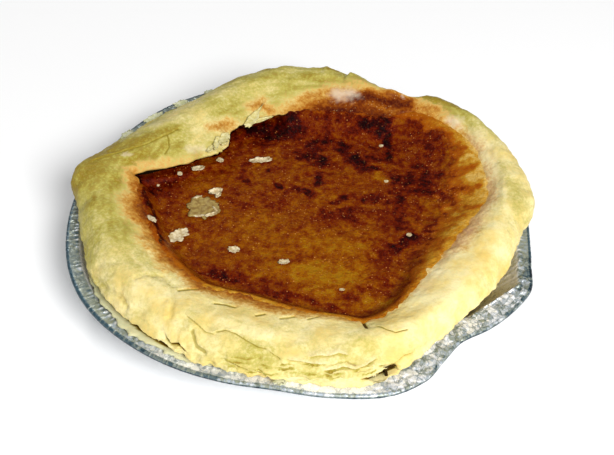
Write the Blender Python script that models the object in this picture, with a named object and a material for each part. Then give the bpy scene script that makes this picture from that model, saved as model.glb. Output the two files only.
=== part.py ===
"""A bakewell pudding in the foil dish that it was baked in.

Three pieces nest in each other: the foil dish, the puff pastry case and the baked filling.
The origin is the centre of the dish's underside. +Z is up, and the low, layered front faces -Y.
An angle goes round the dish from +X towards +Y, in degrees. Every size below is in millimetres.
"""

import math
from bisect import bisect_right

import bmesh
import bpy
from mathutils import Matrix, Vector, noise

MM = 0.001
GAP = 0.4   # between pieces that touch

# The foil dish
DISH_RADIUS = 82.5
DISH_HEIGHT = 22.0
DISH_BASE_RADIUS = 63.0
FOIL = 0.5
# The flange round the dish, as (angle, width): crumpled wide at the front right
FLANGE_WIDTH = (
    (-176, 5.0), (-78, 5.0), (-68, 7.6), (-60, 9.3), (-48, 8.0), (-34, 8.2), (-27, 7.2), (-21, 5.3),
    (10, 5.0),
)
FLANGE_BEND = 0.6
BEAD_RADIUS = 0.9
BEAD_TURN = 210.0   # degrees that the rolled edge curls through
FOOT_BEND = 3.0     # the flat of the base ends this far in from its edge
FOOT_RISE = 1.6
FLUTES = 48
FLUTE_DEPTH = 0.9
FLUTE_END = 2.0     # the flutes run out this far below the flange
# How far the rolled edge stands out of a true circle: pushed in by hand at -47, a corner at -22
RIM_DENTS = (
    (-176, -0.2), (-147, 2.1), (-125, 0.4), (-106, -1.6), (-96, -2.5), (-82, 0.0), (-69, 2.6),
    (-61, 1.2), (-54, -2.8), (-47, -5.3), (-38, -2.6), (-28, 0.1), (-22, 1.2), (-14, -1.2),
    (-4, -2.4), (25, -1.0), (70, -0.4), (110, 0.0), (131, -0.1), (150, -1.3),
)

# The pastry case: outlines as (angle, radius)
LIP = (
    (-176, 56.8), (-160, 54.6), (-142, 54.9), (-125, 55.9), (-108, 53.3), (-92, 55.3),
    (-76, 60.0), (-69, 63.0), (-62, 61.8), (-50, 57.0), (-36, 53.6), (-22, 54.2), (-8, 58.5),
    (3, 64.0), (18, 66.5), (30, 68.8), (45, 67.1), (53, 63.5), (58, 56.0), (66, 53.0),
    (82, 49.5), (96, 48.3), (108, 47.1), (120, 45.9), (131, 43.8), (139, 38.4), (147, 38.0),
    (155, 41.6), (162, 45.0), (168, 50.6), (172, 57.5), (174.5, 60.3), (178, 58.0),
)
CREST = (
    (-176, 70.0), (-150, 70.0), (-125, 70.5), (-105, 69.0), (-88, 69.5), (-72, 72.5),
    (-50, 69.0), (-25, 66.0), (-4, 70.0), (15, 74.0), (35, 75.5), (50, 73.5), (59, 68.0),
    (70, 66.0), (85, 66.5), (100, 66.0), (118, 62.0), (138, 57.5), (155, 60.0), (168, 66.0),
)
BROW = (
    (-170, 75.0), (-160, 74.8), (-150, 75.0), (-125, 75.6), (-100, 74.8), (-80, 76.0), (-65, 75.0),
    (-45, 71.2), (-25, 71.4), (-10, 73.8), (2, 79.6), (31, 79.2), (46, 78.4), (53, 76.2),
    (59, 69.6), (70, 70.6), (78, 72.8), (97, 74.6), (107, 73.2), (116, 71.4), (124, 68.6),
    (135, 67.4), (146, 68.0), (156, 70.2), (168, 75.0), (177, 80.0),
)
BELLY = (
    (-172, 78.2), (-160, 77.8), (-152, 79.3), (-145, 79.8), (-125, 80.2), (-104, 78.8), (-90, 78.5),
    (-72, 79.4), (-66, 79.0), (-60, 76.8), (-52, 74.0), (-42, 73.8), (-30, 74.4), (-15, 75.3),
    (-8, 76.6), (1, 80.9), (18, 81.0), (35, 81.5), (48, 81.0), (59, 73.0), (70, 75.5), (85, 79.0),
    (100, 79.0), (113, 77.4), (121, 74.8), (135, 71.6), (148, 72.8), (158, 75.4), (168, 79.4),
    (177, 82.7),
)
FOOT = (
    (-172, 75.8), (-160, 76.4), (-151, 79.4), (-140, 81.2), (-132, 81.2), (-125, 80.0), (-116, 79.6),
    (-107, 77.2), (-100, 77.2), (-90, 78.2), (-84, 79.2), (-77, 81.2), (-71, 80.8), (-66, 78.6),
    (-60, 74.5), (-50, 70.8), (-35, 70.8), (-20, 71.2), (-5, 73.5), (10, 76.5), (60, 75.0),
    (90, 77.0), (118, 78.2), (150, 78.2), (172, 78.0),
)
# Shares of the way round, as (first angle, last angle, fade): the lower sheet that lies out over
# the dish's edge under the fold, the cut layers at the front, and the dark gap between two of them
SHEET_SECTOR = (-146.0, -106.0, 12.0)
LAYER_SECTOR = (-112.0, -54.0, 16.0)
HOLE_SECTOR = (-71.0, -68.0, 3.0)
# Heights round the case, as (angle, height)
LIP_HEIGHT = (
    (-178, 32.0), (-150, 31.5), (0, 31.8), (45, 32.0), (60, 31.5), (98, 31.5), (110, 31.8),
    (160, 31.8), (172, 32.0),
)
CREST_HEIGHT = (
    (-176, 36.0), (-150, 36.0), (-120, 35.5), (-95, 34.8), (-70, 35.0), (-45, 35.0),
    (-15, 35.5), (20, 36.0), (45, 36.0), (59, 34.2), (72, 35.5), (100, 36.5), (120, 36.8),
    (145, 37.0), (165, 36.5),
)
# How far the well reaches back under the lip: the fold at the upper left hangs over the filling
OVERHANG = ((-176, 1.2), (-120, 0.8), (60, 0.8), (96, 0.9), (108, 6.0), (164, 7.0), (174, 4.5))
# How far the brow, the shoulder between crest and belly, lies below the crest: the upper left
# back is flattened
BROW_DROP = ((-176, 2.2), (95, 2.2), (110, 3.0), (124, 4.5), (138, 5.0), (152, 4.6), (164, 3.2))
BELLY_HEIGHT = 28.0
FOLD_HEIGHT = 25.3      # the lower edge of the folded-over pastry
# How far the fold is tucked in under the belly, or spreads outside it
FOLD_INSET = ((-176, 2.0), (100, 2.0), (114, 1.2), (124, -0.4), (135, -1.8), (148, -1.4), (162, 0.6))
TERRACE_INSET = -0.9    # at the layered front it steps out instead
SLOPE = (0.42, 0.62)    # the inner slope bulges: share of the way out, and up, from lip to crest
SHEET_THICKNESS = 1.4
SHEET_EDGE = 0.5
CREVICE = 0.4
SHEET_CREVICE = 2.6
SHEET_RISE = 0.4        # the sheet meets the fold this share of the way up to it
HOLE_DEPTH = 3.2
LAYERS = 5
LAYER_IN = 0.8
LAYER_OUT = 0.2
LAYER_FADE = 2.5        # the layers' steps die out by this many steps a layer
LIP_THICKNESS = 1.9
LIP_UNDERCUT = 0.22     # the fold's underside drops by this share of the overhang
LIP_CURL = 0.25         # and starts at this share of it
WELL_FLOOR = 9.0
WELL_TAPER = 5.0
WELL_SHOULDER = (1.0, 3.0)   # the well narrows by this much, this far below the filling's top
WELL_TUCK = (1.5, 3.0)  # the filling runs on under an overhang over the first, wholly at both added
FOOT_INSET = 1.6        # the case stands in from the dish's wall by this, 2 mm down
LUMP_SIZE = 19.0
LUMP_HEIGHT = 0.8
LUMP_FADE = (4.0, 6.0)  # the lumps die out this far above the fold, and outside the lip

# The filling
FILLING_HEIGHT = 26.4
FILLING_EDGE_HEIGHT = (
    (-176, 30.2), (-150, 30.2), (-110, 30.3), (-60, 30.6), (0, 31.0), (45, 31.2), (60, 30.6),
    (96, 30.4), (108, 27.6), (165, 27.4), (174, 28.6),
)
FILLING_CLIMB = (
    (-176, 7.0), (-120, 8.0), (-60, 9.0), (-20, 15.0), (30, 24.0), (60, 16.0), (96, 11.0),
    (110, 5.0), (165, 5.0),
)
FILLING_SHARES = (0.0, 0.22, 0.42, 0.6, 0.75, 0.88, 0.96)
CLIMB_POWER = 1.4
RIPPLE_SIZE = 14.0
RIPPLE_HEIGHT = 0.45
RIPPLE_FADE = 4.0

# Flakes: (x, y, length, width, turn in degrees)
FILLING_FLAKES = (
    (-34.9, -3.5, 11.5, 10.0, -30), (-42.0, -19.5, 8.5, 4.6, 45), (-22.6, -24.7, 3.4, 2.6, 0),
    (-5.6, -29.8, 3.6, 2.4, 10), (-16.8, 23.8, 7.6, 3.2, 12), (-39.0, 16.0, 4.6, 2.4, 20),
    (-31.5, 21.3, 2.4, 2.4, 60),
)
FLAKE_THICKNESS = 0.7
FLAKE_SUNK = 0.3
FLAKE_SIDES = 7
FLAKE_RAGGEDNESS = 0.28
# Flakes on the top of the pastry: (x, y, length, width, turn, tilt in degrees)
PASTRY_FLAKES = (
    (-19.8, 44.2, 12.5, 2.8, 68, -4), (-17.0, 45.4, 7.5, 2.4, 30, 0),
    (-31.6, 27.0, 8.0, 6.0, 50, 5), (14.0, 69.0, 6.0, 2.6, 60, -6), (21.5, 66.0, 8.0, 3.0, 65, -6),
)

# How finely the pieces are cut
SPOKES = 120
DISH_SPOKES = 96
BEAD_STEPS = 5
FACE_STEPS = (6, 5, 3, 3, 3)   # from fold over belly, brow, crest and slope to the lip
FOLD_RING = 9


def clamp(value, low=0.0, high=1.0):
    return max(low, min(high, value))


def mix(a, b, share):
    return a + (b - a) * share


def smooth(value):
    value = clamp(value)
    return value * value * (3.0 - 2.0 * value)


def around(stations, angle):
    """The value at an angle on a closed outline, by a monotone cubic through its stations."""
    count = len(stations)
    angle = (angle - stations[0][0]) % 360.0 + stations[0][0]
    index = bisect_right([a for a, _ in stations], angle) - 1

    def station(i):
        turn, place = divmod(i, count)
        return stations[place][0] + 360.0 * turn, stations[place][1]

    def slope(i):
        (a0, v0), (a1, v1), (a2, v2) = station(i - 1), station(i), station(i + 1)
        before, after = (v1 - v0) / (a1 - a0), (v2 - v1) / (a2 - a1)
        if before * after <= 0.0:
            return 0.0
        return 2.0 * before * after / (before + after)

    (a, v), (b, w) = station(index), station(index + 1)
    span = b - a
    t = (angle - a) / span
    rise = w - v
    m, n = slope(index) * span, slope(index + 1) * span
    return v + t * (m + t * (3.0 * rise - 2.0 * m - n + t * (m + n - 2.0 * rise)))


def sector(angle, start, end, fade):
    """1 between two angles, falling to 0 over fade degrees outside them."""
    middle, half = (start + end) / 2.0, (end - start) / 2.0
    away = abs((angle - middle + 180.0) % 360.0 - 180.0) - half
    return 1.0 - smooth(away / fade)


def polar(angle, radius, height):
    a = math.radians(angle)
    return Vector((radius * math.cos(a), radius * math.sin(a), height))


def curve_through(points, steps):
    """Points on a Catmull-Rom curve through the given ones, with steps[i] in span i."""
    result = []
    last = len(points) - 1
    for i, count in enumerate(steps):
        p0, p1 = points[max(i - 1, 0)], points[i]
        p2, p3 = points[i + 1], points[min(i + 2, last)]
        for k in range(count):
            t = k / count
            result.append(tuple(
                0.5 * (2 * b + (c - a) * t + (2 * a - 5 * b + 4 * c - d) * t * t
                       + (3 * b - a - 3 * c + d) * t ** 3)
                for a, b, c, d in zip(p0, p1, p2, p3)
            ))
    result.append(tuple(points[last]))
    return result


def rim_radius(angle):
    return DISH_RADIUS + around(RIM_DENTS, angle)


def wall_radius(angle):
    """The inside of the dish's wall at its top."""
    return rim_radius(angle) - around(FLANGE_WIDTH, angle)


def dish_section(angle, spoke):
    """The foil's section from the middle of its inside, over the rolled edge, to its underside."""
    top, wall, edge = DISH_HEIGHT, wall_radius(angle), rim_radius(angle)
    flute = FLUTE_DEPTH * (spoke % (DISH_SPOKES // FLUTES))
    foot, flat = DISH_BASE_RADIUS, DISH_BASE_RADIUS - FOOT_BEND
    fluted = wall + flute - 2.0 * FOIL
    inner = [(0.0, FOIL), (flat, FOIL), (foot + flute, FOOT_RISE + FOIL),
             (fluted, top - FLUTE_END), (wall, top - FOIL), (wall + FLANGE_BEND, top)]
    axis = (edge - BEAD_RADIUS, top - BEAD_RADIUS)
    turns = [math.radians(90.0 - BEAD_TURN * k / BEAD_STEPS) for k in range(BEAD_STEPS + 1)]
    bead = [(axis[0] + BEAD_RADIUS * math.cos(t), axis[1] + BEAD_RADIUS * math.sin(t))
            for t in turns]
    outer = [(axis[0] - BEAD_RADIUS, top - FOIL), (wall + 2.0 * FLANGE_BEND, top - FOIL),
             (wall + FOIL, top - 3.0 * FOIL), (fluted + FLANGE_BEND, top - FLUTE_END - FOIL),
             (foot + flute + FLANGE_BEND, FOOT_RISE), (flat + FOIL, 0.0), (0.0, 0.0)]
    return inner + bead + outer


def layer_share(angle):
    return sector(angle, *LAYER_SECTOR)


def case_outline(angle):
    """The named points of the case's section at an angle, from its foot to its lip."""
    belly, crest, lip = around(BELLY, angle), around(CREST, angle), around(LIP, angle)
    crest_z, lip_z = around(CREST_HEIGHT, angle), around(LIP_HEIGHT, angle)
    inset = mix(around(FOLD_INSET, angle), TERRACE_INSET, layer_share(angle))
    return {
        "foot": (around(FOOT, angle), DISH_HEIGHT + SHEET_THICKNESS),
        "fold": (belly - inset, FOLD_HEIGHT),
        "belly": (belly, BELLY_HEIGHT),
        "brow": (around(BROW, angle), crest_z - around(BROW_DROP, angle)),
        "crest": (crest, crest_z),
        "slope": (mix(lip, crest, SLOPE[0]), mix(lip_z, crest_z, SLOPE[1])),
        "lip": (lip, lip_z),
    }


def layer_step(ring, angle):
    """How far a ring of the outer face steps in, for the cut edges of the layers."""
    layer = ring - FOLD_RING
    if not 0 < layer <= 2 * LAYERS:
        return 0.0
    fade = layer_share(angle) * (1.0 - layer / (LAYER_FADE * LAYERS))
    return LAYER_IN * fade if layer % 2 else -LAYER_OUT * fade


def case_section(angle):
    """The case's section from the middle of its underside to the middle of its well."""
    at = case_outline(angle)
    foot, sheet_top = at["foot"]
    wall = wall_radius(angle) - GAP - FOIL / 5.0
    bottom, rest = FOIL + GAP, DISH_HEIGHT + GAP
    base = [(0.0, bottom), (DISH_BASE_RADIUS - FOOT_BEND - GAP, bottom),
            (DISH_BASE_RADIUS - 2.0 * GAP, bottom + FOOT_RISE),
            (min(wall, foot) - FOOT_INSET, DISH_HEIGHT - FLUTE_END),
            (min(wall, foot - 2.0 * SHEET_EDGE), rest),
            (foot - SHEET_EDGE, rest), (foot, rest + SHEET_EDGE)]
    crevice = (CREVICE + SHEET_CREVICE * sector(angle, *SHEET_SECTOR)
               + HOLE_DEPTH * sector(angle, *HOLE_SECTOR))
    step = [(foot - CREVICE, sheet_top),
            (min(foot, at["fold"][0]) - crevice, mix(sheet_top, FOLD_HEIGHT, SHEET_RISE))]
    face = curve_through([at[k] for k in ("fold", "belly", "brow", "crest", "slope", "lip")],
                         FACE_STEPS)
    return base + step + face + well_section(angle)


def well_section(angle):
    """The well from just below the lip to the middle of its floor."""
    lip, back = around(LIP, angle), around(OVERHANG, angle)
    under = around(LIP_HEIGHT, angle) - LIP_THICKNESS
    side = lip + back
    return [(lip + LIP_CURL * back, under + SHEET_EDGE), (side, under - LIP_UNDERCUT * back),
            (side - WELL_SHOULDER[0], FILLING_HEIGHT - WELL_SHOULDER[1]),
            (side - WELL_TAPER, WELL_FLOOR), (0.0, WELL_FLOOR)]


def relief(point, size, height):
    """A slow rise and fall of the surface, the same wherever it is asked for."""
    return height * noise.fractal(point / size, 1.0, 2.0, 2)


def case_point(angle, ring, section):
    radius, height = section[ring]
    share = (smooth((height - FOLD_HEIGHT) / LUMP_FADE[0])
             * smooth((radius - around(LIP, angle)) / LUMP_FADE[1]))
    lump = relief(polar(angle, radius, height), LUMP_SIZE, LUMP_HEIGHT) * share
    return polar(angle, radius - layer_step(ring, angle), height + lump)


def filling_height(angle, radius):
    """The filling's top: level in the middle, climbing to the lip at its edge."""
    lip = around(LIP, angle)
    climb = smooth(1.0 - (lip - radius) / around(FILLING_CLIMB, angle)) ** CLIMB_POWER
    ripple = relief(polar(angle, radius, 0.0), RIPPLE_SIZE, RIPPLE_HEIGHT)
    level = mix(FILLING_HEIGHT, around(FILLING_EDGE_HEIGHT, angle), climb)
    return level + ripple * smooth((lip - radius) / RIPPLE_FADE)


def filling_section(angle):
    """The filling's section from the middle of its top to the middle of its underside."""
    lip, back = around(LIP, angle), around(OVERHANG, angle)
    tucked = smooth((back - WELL_TUCK[0]) / WELL_TUCK[1])
    edge = lip + mix(-GAP, back - 2.0 * GAP, tucked)
    top = [(edge * share, filling_height(angle, edge * share)) for share in FILLING_SHARES]
    side = lip + back - GAP
    wall = [(edge, around(FILLING_EDGE_HEIGHT, angle)),
            (side - WELL_SHOULDER[0] - GAP / 2.0, FILLING_HEIGHT - WELL_SHOULDER[1] - GAP / 2.0),
            (side - WELL_TAPER - GAP / 4.0, WELL_FLOOR + GAP), (0.0, WELL_FLOOR + GAP)]
    return top + wall


def spun(rings, spokes, place):
    """A closed body of revolution whose vertices then go where place(angle, ring) says.

    A straight spoke with a vertex for each ring is spun full circle, its ends on the axis."""
    mesh = bmesh.new()
    profile = [mesh.verts.new((0.0 if i in (0, rings - 1) else 1.0, 0.0, float(i)))
               for i in range(rings)]
    edges = [mesh.edges.new(pair) for pair in zip(profile, profile[1:])]
    bmesh.ops.spin(mesh, geom=profile + edges, cent=(0, 0, 0), axis=(0, 0, 1),
                   angle=2.0 * math.pi, steps=spokes, use_merge=True, use_duplicate=False)
    bmesh.ops.remove_doubles(mesh, verts=mesh.verts, dist=1e-4)
    step = 360.0 / spokes
    for vertex in mesh.verts:
        x, y, z = vertex.co
        spoke = round(math.degrees(math.atan2(y, x)) / step)
        vertex.co = place(spoke, round(z)) * MM
    bmesh.ops.triangulate(mesh, faces=mesh.faces, quad_method="SHORT_EDGE")
    bmesh.ops.recalc_face_normals(mesh, faces=mesh.faces)
    return mesh


def build_dish():
    step = 360.0 / DISH_SPOKES
    sections = {s: dish_section(s * step, s) for s in range(-DISH_SPOKES, DISH_SPOKES + 1)}

    def place(spoke, ring):
        return polar(spoke * step, *sections[spoke][ring])

    return spun(len(sections[0]), DISH_SPOKES, place)


def build_case():
    step = 360.0 / SPOKES
    sections = {s: case_section(s * step) for s in range(-SPOKES, SPOKES + 1)}

    def place(spoke, ring):
        return case_point(spoke * step, ring, sections[spoke])

    return spun(len(sections[0]), SPOKES, place)


def build_filling():
    step = 360.0 / SPOKES
    sections = {s: filling_section(s * step) for s in range(-SPOKES, SPOKES + 1)}

    def place(spoke, ring):
        return polar(spoke * step, *sections[spoke][ring])

    return spun(len(sections[0]), SPOKES, place)


def flake(length, width, seed):
    """A thin ragged plate of seven sides, lying flat at the origin."""
    mesh = bmesh.new()
    bmesh.ops.create_circle(mesh, cap_ends=True, segments=FLAKE_SIDES, radius=0.5)
    for i, vertex in enumerate(mesh.verts):
        ragged = 1.0 + FLAKE_RAGGEDNESS * noise.noise(Vector((i * 1.7, seed * 3.1, 0.5)))
        vertex.co = Vector((vertex.co.x * length * ragged, vertex.co.y * width * ragged, 0.0))
    bottom = list(mesh.faces)
    grown = bmesh.ops.extrude_face_region(mesh, geom=bottom)
    top = [g for g in grown["geom"] if isinstance(g, bmesh.types.BMVert)]
    bmesh.ops.translate(mesh, verts=top, vec=(0.0, 0.0, FLAKE_THICKNESS))
    bmesh.ops.recalc_face_normals(mesh, faces=mesh.faces)
    return mesh


def filling_flakes():
    for i, (x, y, length, width, turn) in enumerate(FILLING_FLAKES):
        mesh = flake(length, width, i)
        angle, radius = math.degrees(math.atan2(y, x)), math.hypot(x, y)
        place = Matrix.Translation((x, y, filling_height(angle, radius) - FLAKE_SUNK))
        bmesh.ops.transform(mesh, verts=mesh.verts,
                            matrix=Matrix.Scale(MM, 4) @ place
                            @ Matrix.Rotation(math.radians(turn), 4, "Z"))
        yield mesh


def case_top(angle, radius):
    """The height of the case's top at a radius between its lip and its brow."""
    at = case_outline(angle)
    line = curve_through([at[k] for k in ("brow", "crest", "slope", "lip")], (4, 4, 4))
    for (r0, z0), (r1, z1) in zip(line, line[1:]):
        if r1 <= radius <= r0:
            return mix(z0, z1, (r0 - radius) / (r0 - r1))
    return line[0][1]


def pastry_flakes():
    for i, (x, y, length, width, turn, tilt) in enumerate(PASTRY_FLAKES):
        mesh = flake(length, width, i + len(FILLING_FLAKES))
        height = case_top(math.degrees(math.atan2(y, x)), math.hypot(x, y)) - FLAKE_SUNK
        bmesh.ops.transform(mesh, verts=mesh.verts,
                            matrix=Matrix.Scale(MM, 4) @ Matrix.Translation((x, y, height))
                            @ Matrix.Rotation(math.radians(turn), 4, "Z")
                            @ Matrix.Rotation(math.radians(tilt), 4, "Y"))
        yield mesh


def new_object(name, mesh, material=None):
    data = bpy.data.meshes.new(name)
    mesh.to_mesh(data)
    mesh.free()
    if material:
        data.materials.append(material)
    thing = bpy.data.objects.new(name, data)
    bpy.context.scene.collection.objects.link(thing)
    return thing


def fuse(thing, pieces):
    """Joins small pieces to a body by one Boolean union, and applies it."""
    group = bpy.data.collections.new(thing.name + "_pieces")
    bpy.context.scene.collection.children.link(group)
    for i, mesh in enumerate(pieces):
        piece = new_object(f"{thing.name}_piece_{i}", mesh)
        bpy.context.scene.collection.objects.unlink(piece)
        group.objects.link(piece)
    union = thing.modifiers.new("Flakes", "BOOLEAN")
    union.operation = "UNION"
    union.solver = "EXACT"
    union.operand_type = "COLLECTION"
    union.collection = group
    bpy.context.view_layer.update()
    evaluated = thing.evaluated_get(bpy.context.evaluated_depsgraph_get())
    joined = bpy.data.meshes.new_from_object(evaluated)
    thing.modifiers.clear()
    old, thing.data = thing.data, joined
    joined.name = thing.name
    bpy.data.meshes.remove(old)
    for piece in list(group.objects):
        bpy.data.objects.remove(piece)
    bpy.data.collections.remove(group)


def finish(name, colour, roughness, metallic=0.0):
    material = bpy.data.materials.new(name)
    material.use_nodes = True
    shader = material.node_tree.nodes["Principled BSDF"]
    shader.inputs["Base Color"].default_value = (*colour, 1.0)
    shader.inputs["Roughness"].default_value = roughness
    shader.inputs["Metallic"].default_value = metallic
    material.diffuse_color = (*colour, 1.0)
    return material


def soften(thing, degrees):
    thing.data.shade_smooth()
    thing.data.set_sharp_from_angle(angle=math.radians(degrees))


def main():
    for thing in list(bpy.data.objects):
        bpy.data.objects.remove(thing)
    dish = new_object("foil_dish", build_dish(), finish("foil", (0.72, 0.74, 0.75), 0.3, 1.0))
    case = new_object("pastry_case", build_case(), finish("pastry", (0.83, 0.66, 0.30), 0.6))
    fuse(case, pastry_flakes())
    filling = new_object("filling", build_filling(), finish("custard", (0.22, 0.06, 0.01), 0.35))
    fuse(filling, filling_flakes())
    for thing, angle in ((dish, 35), (case, 60), (filling, 50)):
        soften(thing, angle)


main()
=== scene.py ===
"""The looks of a bakewell pudding in its foil dish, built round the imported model.

Sizes and places are in millimetres. An angle goes round the dish from +X towards +Y, in degrees.
The named outlines are those of the part's own source, so that each piece keeps the form of the
solid that it stands for. A mesh becomes metres when it is made an object.
"""

import logging
import math
from bisect import bisect_right
from collections.abc import Callable, Iterable, Sequence
from dataclasses import dataclass
from enum import Enum
from typing import Any

import bmesh
import bpy
import numpy as np
from mathutils import Matrix, Vector, noise


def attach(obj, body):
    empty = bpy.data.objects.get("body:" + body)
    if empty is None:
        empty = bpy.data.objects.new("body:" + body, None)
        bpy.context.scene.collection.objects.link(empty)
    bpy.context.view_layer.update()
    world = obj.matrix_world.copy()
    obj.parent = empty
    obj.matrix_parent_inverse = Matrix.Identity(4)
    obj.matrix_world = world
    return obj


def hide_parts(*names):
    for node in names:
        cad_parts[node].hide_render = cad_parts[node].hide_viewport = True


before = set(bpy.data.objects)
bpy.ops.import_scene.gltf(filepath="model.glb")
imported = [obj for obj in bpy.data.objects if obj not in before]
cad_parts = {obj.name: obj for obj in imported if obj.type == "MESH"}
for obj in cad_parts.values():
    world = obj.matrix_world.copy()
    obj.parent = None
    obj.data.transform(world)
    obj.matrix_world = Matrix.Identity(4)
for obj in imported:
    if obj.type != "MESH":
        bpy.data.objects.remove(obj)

MM = 0.001
LOG = logging.getLogger("pudding")

Point = tuple[float, float]
Colour = tuple[int, int, int]
Stop = tuple[float, Colour]   # a place on a ramp and its colour


class Slot(Enum):
    """The record's material slots."""

    FOIL = "foil"
    PASTRY = "pastry"
    FILLING = "filling"


class Cut(Enum):
    """What a line in the pastry does to its surface."""

    GROOVE = "groove"   # both sides fall to the line
    LEDGE = "ledge"     # the left side stands over the right side


class Laid(Enum):
    """How the points of a line in the pastry are given."""

    TOP = "top"     # (x, y), seen from above
    WALL = "wall"   # (angle, height), seen from the side


# ---- Shapes ----

def mix(low: Any, high: Any, share: Any) -> Any:
    """Goes from low to high as share goes from 0 to 1, for numbers or arrays."""
    return low + (high - low) * share


def smooth(value: Any) -> Any:
    """Eases from 0 to 1 as value goes from 0 to 1, for a number or an array."""
    value = np.clip(value, 0.0, 1.0)
    return value * value * (3.0 - 2.0 * value)


def polar(angle: float, radius: float, height: float) -> Vector:
    """The place at an angle, a radius and a height."""
    turn = math.radians(angle)
    return Vector((radius * math.cos(turn), radius * math.sin(turn), height))


def round_of(places: np.ndarray) -> tuple[np.ndarray, np.ndarray]:
    """The angles and the radii of places that are given as rows."""
    return np.degrees(np.arctan2(places[:, 1], places[:, 0])), np.hypot(places[:, 0], places[:, 1])


def curve_through(points: Sequence[tuple[float, ...]], steps: Sequence[int]) -> list[tuple[float, ...]]:
    """Lays a Catmull-Rom curve through points.

    Args:
        points: the points to pass through.
        steps: how many pieces each span is cut into.

    Returns:
        The points on the curve.
    """
    result: list[tuple[float, ...]] = []
    last = len(points) - 1
    for i, count in enumerate(steps):
        p0, p1 = points[max(i - 1, 0)], points[i]
        p2, p3 = points[i + 1], points[min(i + 2, last)]
        for k in range(count):
            t = k / count
            result.append(tuple(
                0.5 * (2 * b + (c - a) * t + (2 * a - 5 * b + 4 * c - d) * t * t
                       + (3 * b - a - 3 * c + d) * t ** 3)
                for a, b, c, d in zip(p0, p1, p2, p3)
            ))
    result.append(tuple(points[last]))
    return result


def straight_through(points: Sequence[tuple[float, ...]], steps: Sequence[int]) -> list[tuple[float, ...]]:
    """Cuts the straight spans between points into steps.

    Args:
        points: the points to pass through.
        steps: how many pieces each span is cut into.

    Returns:
        The points on the spans, without the last one.
    """
    result: list[tuple[float, ...]] = []
    for start, end, count in zip(points, points[1:], steps):
        result += [tuple(mix(a, b, k / count) for a, b in zip(start, end)) for k in range(count)]
    return result


class Outline:
    """A size that changes round the pudding, on a smooth closed curve through its stations."""

    PARTS = 4   # places worked out in each degree

    def __init__(self, stations: dict[float, float]) -> None:
        """Works out the curve.

        Args:
            stations: the value at each angle, in the order of the angles.
        """
        self.stations = list(stations.items())
        self.angles = np.arange(360 * self.PARTS + 1) / self.PARTS
        self.values = np.array([self._cubic(angle) for angle in self.angles.tolist()])

    def _station(self, index: int) -> Point:
        """A station by its number, which counts on from one round to the next."""
        turn, place = divmod(index, len(self.stations))
        return self.stations[place][0] + 360.0 * turn, self.stations[place][1]

    def _slope(self, index: int) -> float:
        """Works out the curve's slope at a station.

        Args:
            index: the station's number.

        Returns:
            The slope, which is level where the values turn back.
        """
        (a0, v0), (a1, v1), (a2, v2) = (self._station(index + i) for i in (-1, 0, 1))
        before, after = (v1 - v0) / (a1 - a0), (v2 - v1) / (a2 - a1)
        return 2.0 * before * after / (before + after) if before * after > 0.0 else 0.0

    def _cubic(self, angle: float) -> float:
        """Works out the value at an angle by a monotone cubic, as the part's source does.

        Args:
            angle: the angle.

        Returns:
            The value.
        """
        first, _ = self.stations[0]
        angle = (angle - first) % 360.0 + first
        index = bisect_right([a for a, _ in self.stations], angle) - 1
        (a, v), (b, w) = self._station(index), self._station(index + 1)
        span, rise = b - a, w - v
        t, m, n = (angle - a) / span, self._slope(index) * span, self._slope(index + 1) * span
        return v + t * (m + t * (3.0 * rise - 2.0 * m - n + t * (m + n - 2.0 * rise)))

    def at(self, angle: Any) -> Any:
        """The value at an angle, or at each of an array of angles."""
        return np.interp(np.mod(angle, 360.0), self.angles, self.values)


@dataclass(frozen=True)
class Sector:
    """A share of the way round: 1 between two angles, falling to 0 over a fade outside them."""

    start: float
    end: float
    fade: float

    def at(self, angle: Any) -> Any:
        """Works out the share at an angle.

        Args:
            angle: the angle, or an array of angles.

        Returns:
            The share, or the share at each of them.
        """
        middle, half = (self.start + self.end) / 2.0, (self.end - self.start) / 2.0
        away = abs((angle - middle + 180.0) % 360.0 - 180.0) - half
        return 1.0 - smooth(away / self.fade)


@dataclass(frozen=True)
class Grain:
    """A rise and fall from -1 to 1 that depends on the place alone."""

    size: float
    octaves: int = 2
    stretch: tuple[float, float, float] = (1.0, 1.0, 1.0)
    shift: float = 0.0

    def at(self, place: Vector) -> float:
        """The value at one place."""
        return noise.fractal(place / self.size + Vector((self.shift,) * 3), 1.0, 2.0, self.octaves)

    def over(self, places: np.ndarray) -> np.ndarray:
        """Works out the values at many places.

        Args:
            places: rows of x, y and z.

        Returns:
            The value at each place.
        """
        scaled = places / (self.size * np.array(self.stretch)) + self.shift
        values = (noise.fractal(Vector(row), 1.0, 2.0, self.octaves) for row in scaled.tolist())
        return np.fromiter(values, float, len(places))


def stray(places: np.ndarray, size: float, octaves: int, shift: float) -> np.ndarray:
    """How far an edge strays at each place, in x and in y."""
    ways = (Grain(size, octaves, shift=part).over(places) for part in (shift, shift + 10.0))
    return np.stack(tuple(ways), 1)


def lie(points: Sequence[Point], places: np.ndarray) -> tuple[np.ndarray, np.ndarray]:
    """Finds how places lie beside a line of points.

    Args:
        points: one point or more.
        places: rows of two numbers.

    Returns:
        The distance of each place from the line, and +1 on its left side or -1 on its right.
    """
    line = list(points) + list(points[-1:])
    nearest, hand = np.full(len(places), np.inf), np.ones(len(places))
    for start, end in zip(np.array(line[:-1]), np.array(line[1:])):
        run = end - start
        share = np.clip((places - start) @ run / max(run @ run, 1e-9), 0.0, 1.0)
        gap = places - start - share[:, None] * run
        distance = np.hypot(gap[:, 0], gap[:, 1])
        closer = distance < nearest
        side = np.where(run[0] * gap[:, 1] - run[1] * gap[:, 0] >= 0.0, 1.0, -1.0)
        nearest, hand = np.where(closer, distance, nearest), np.where(closer, side, hand)
    return nearest, hand


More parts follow.
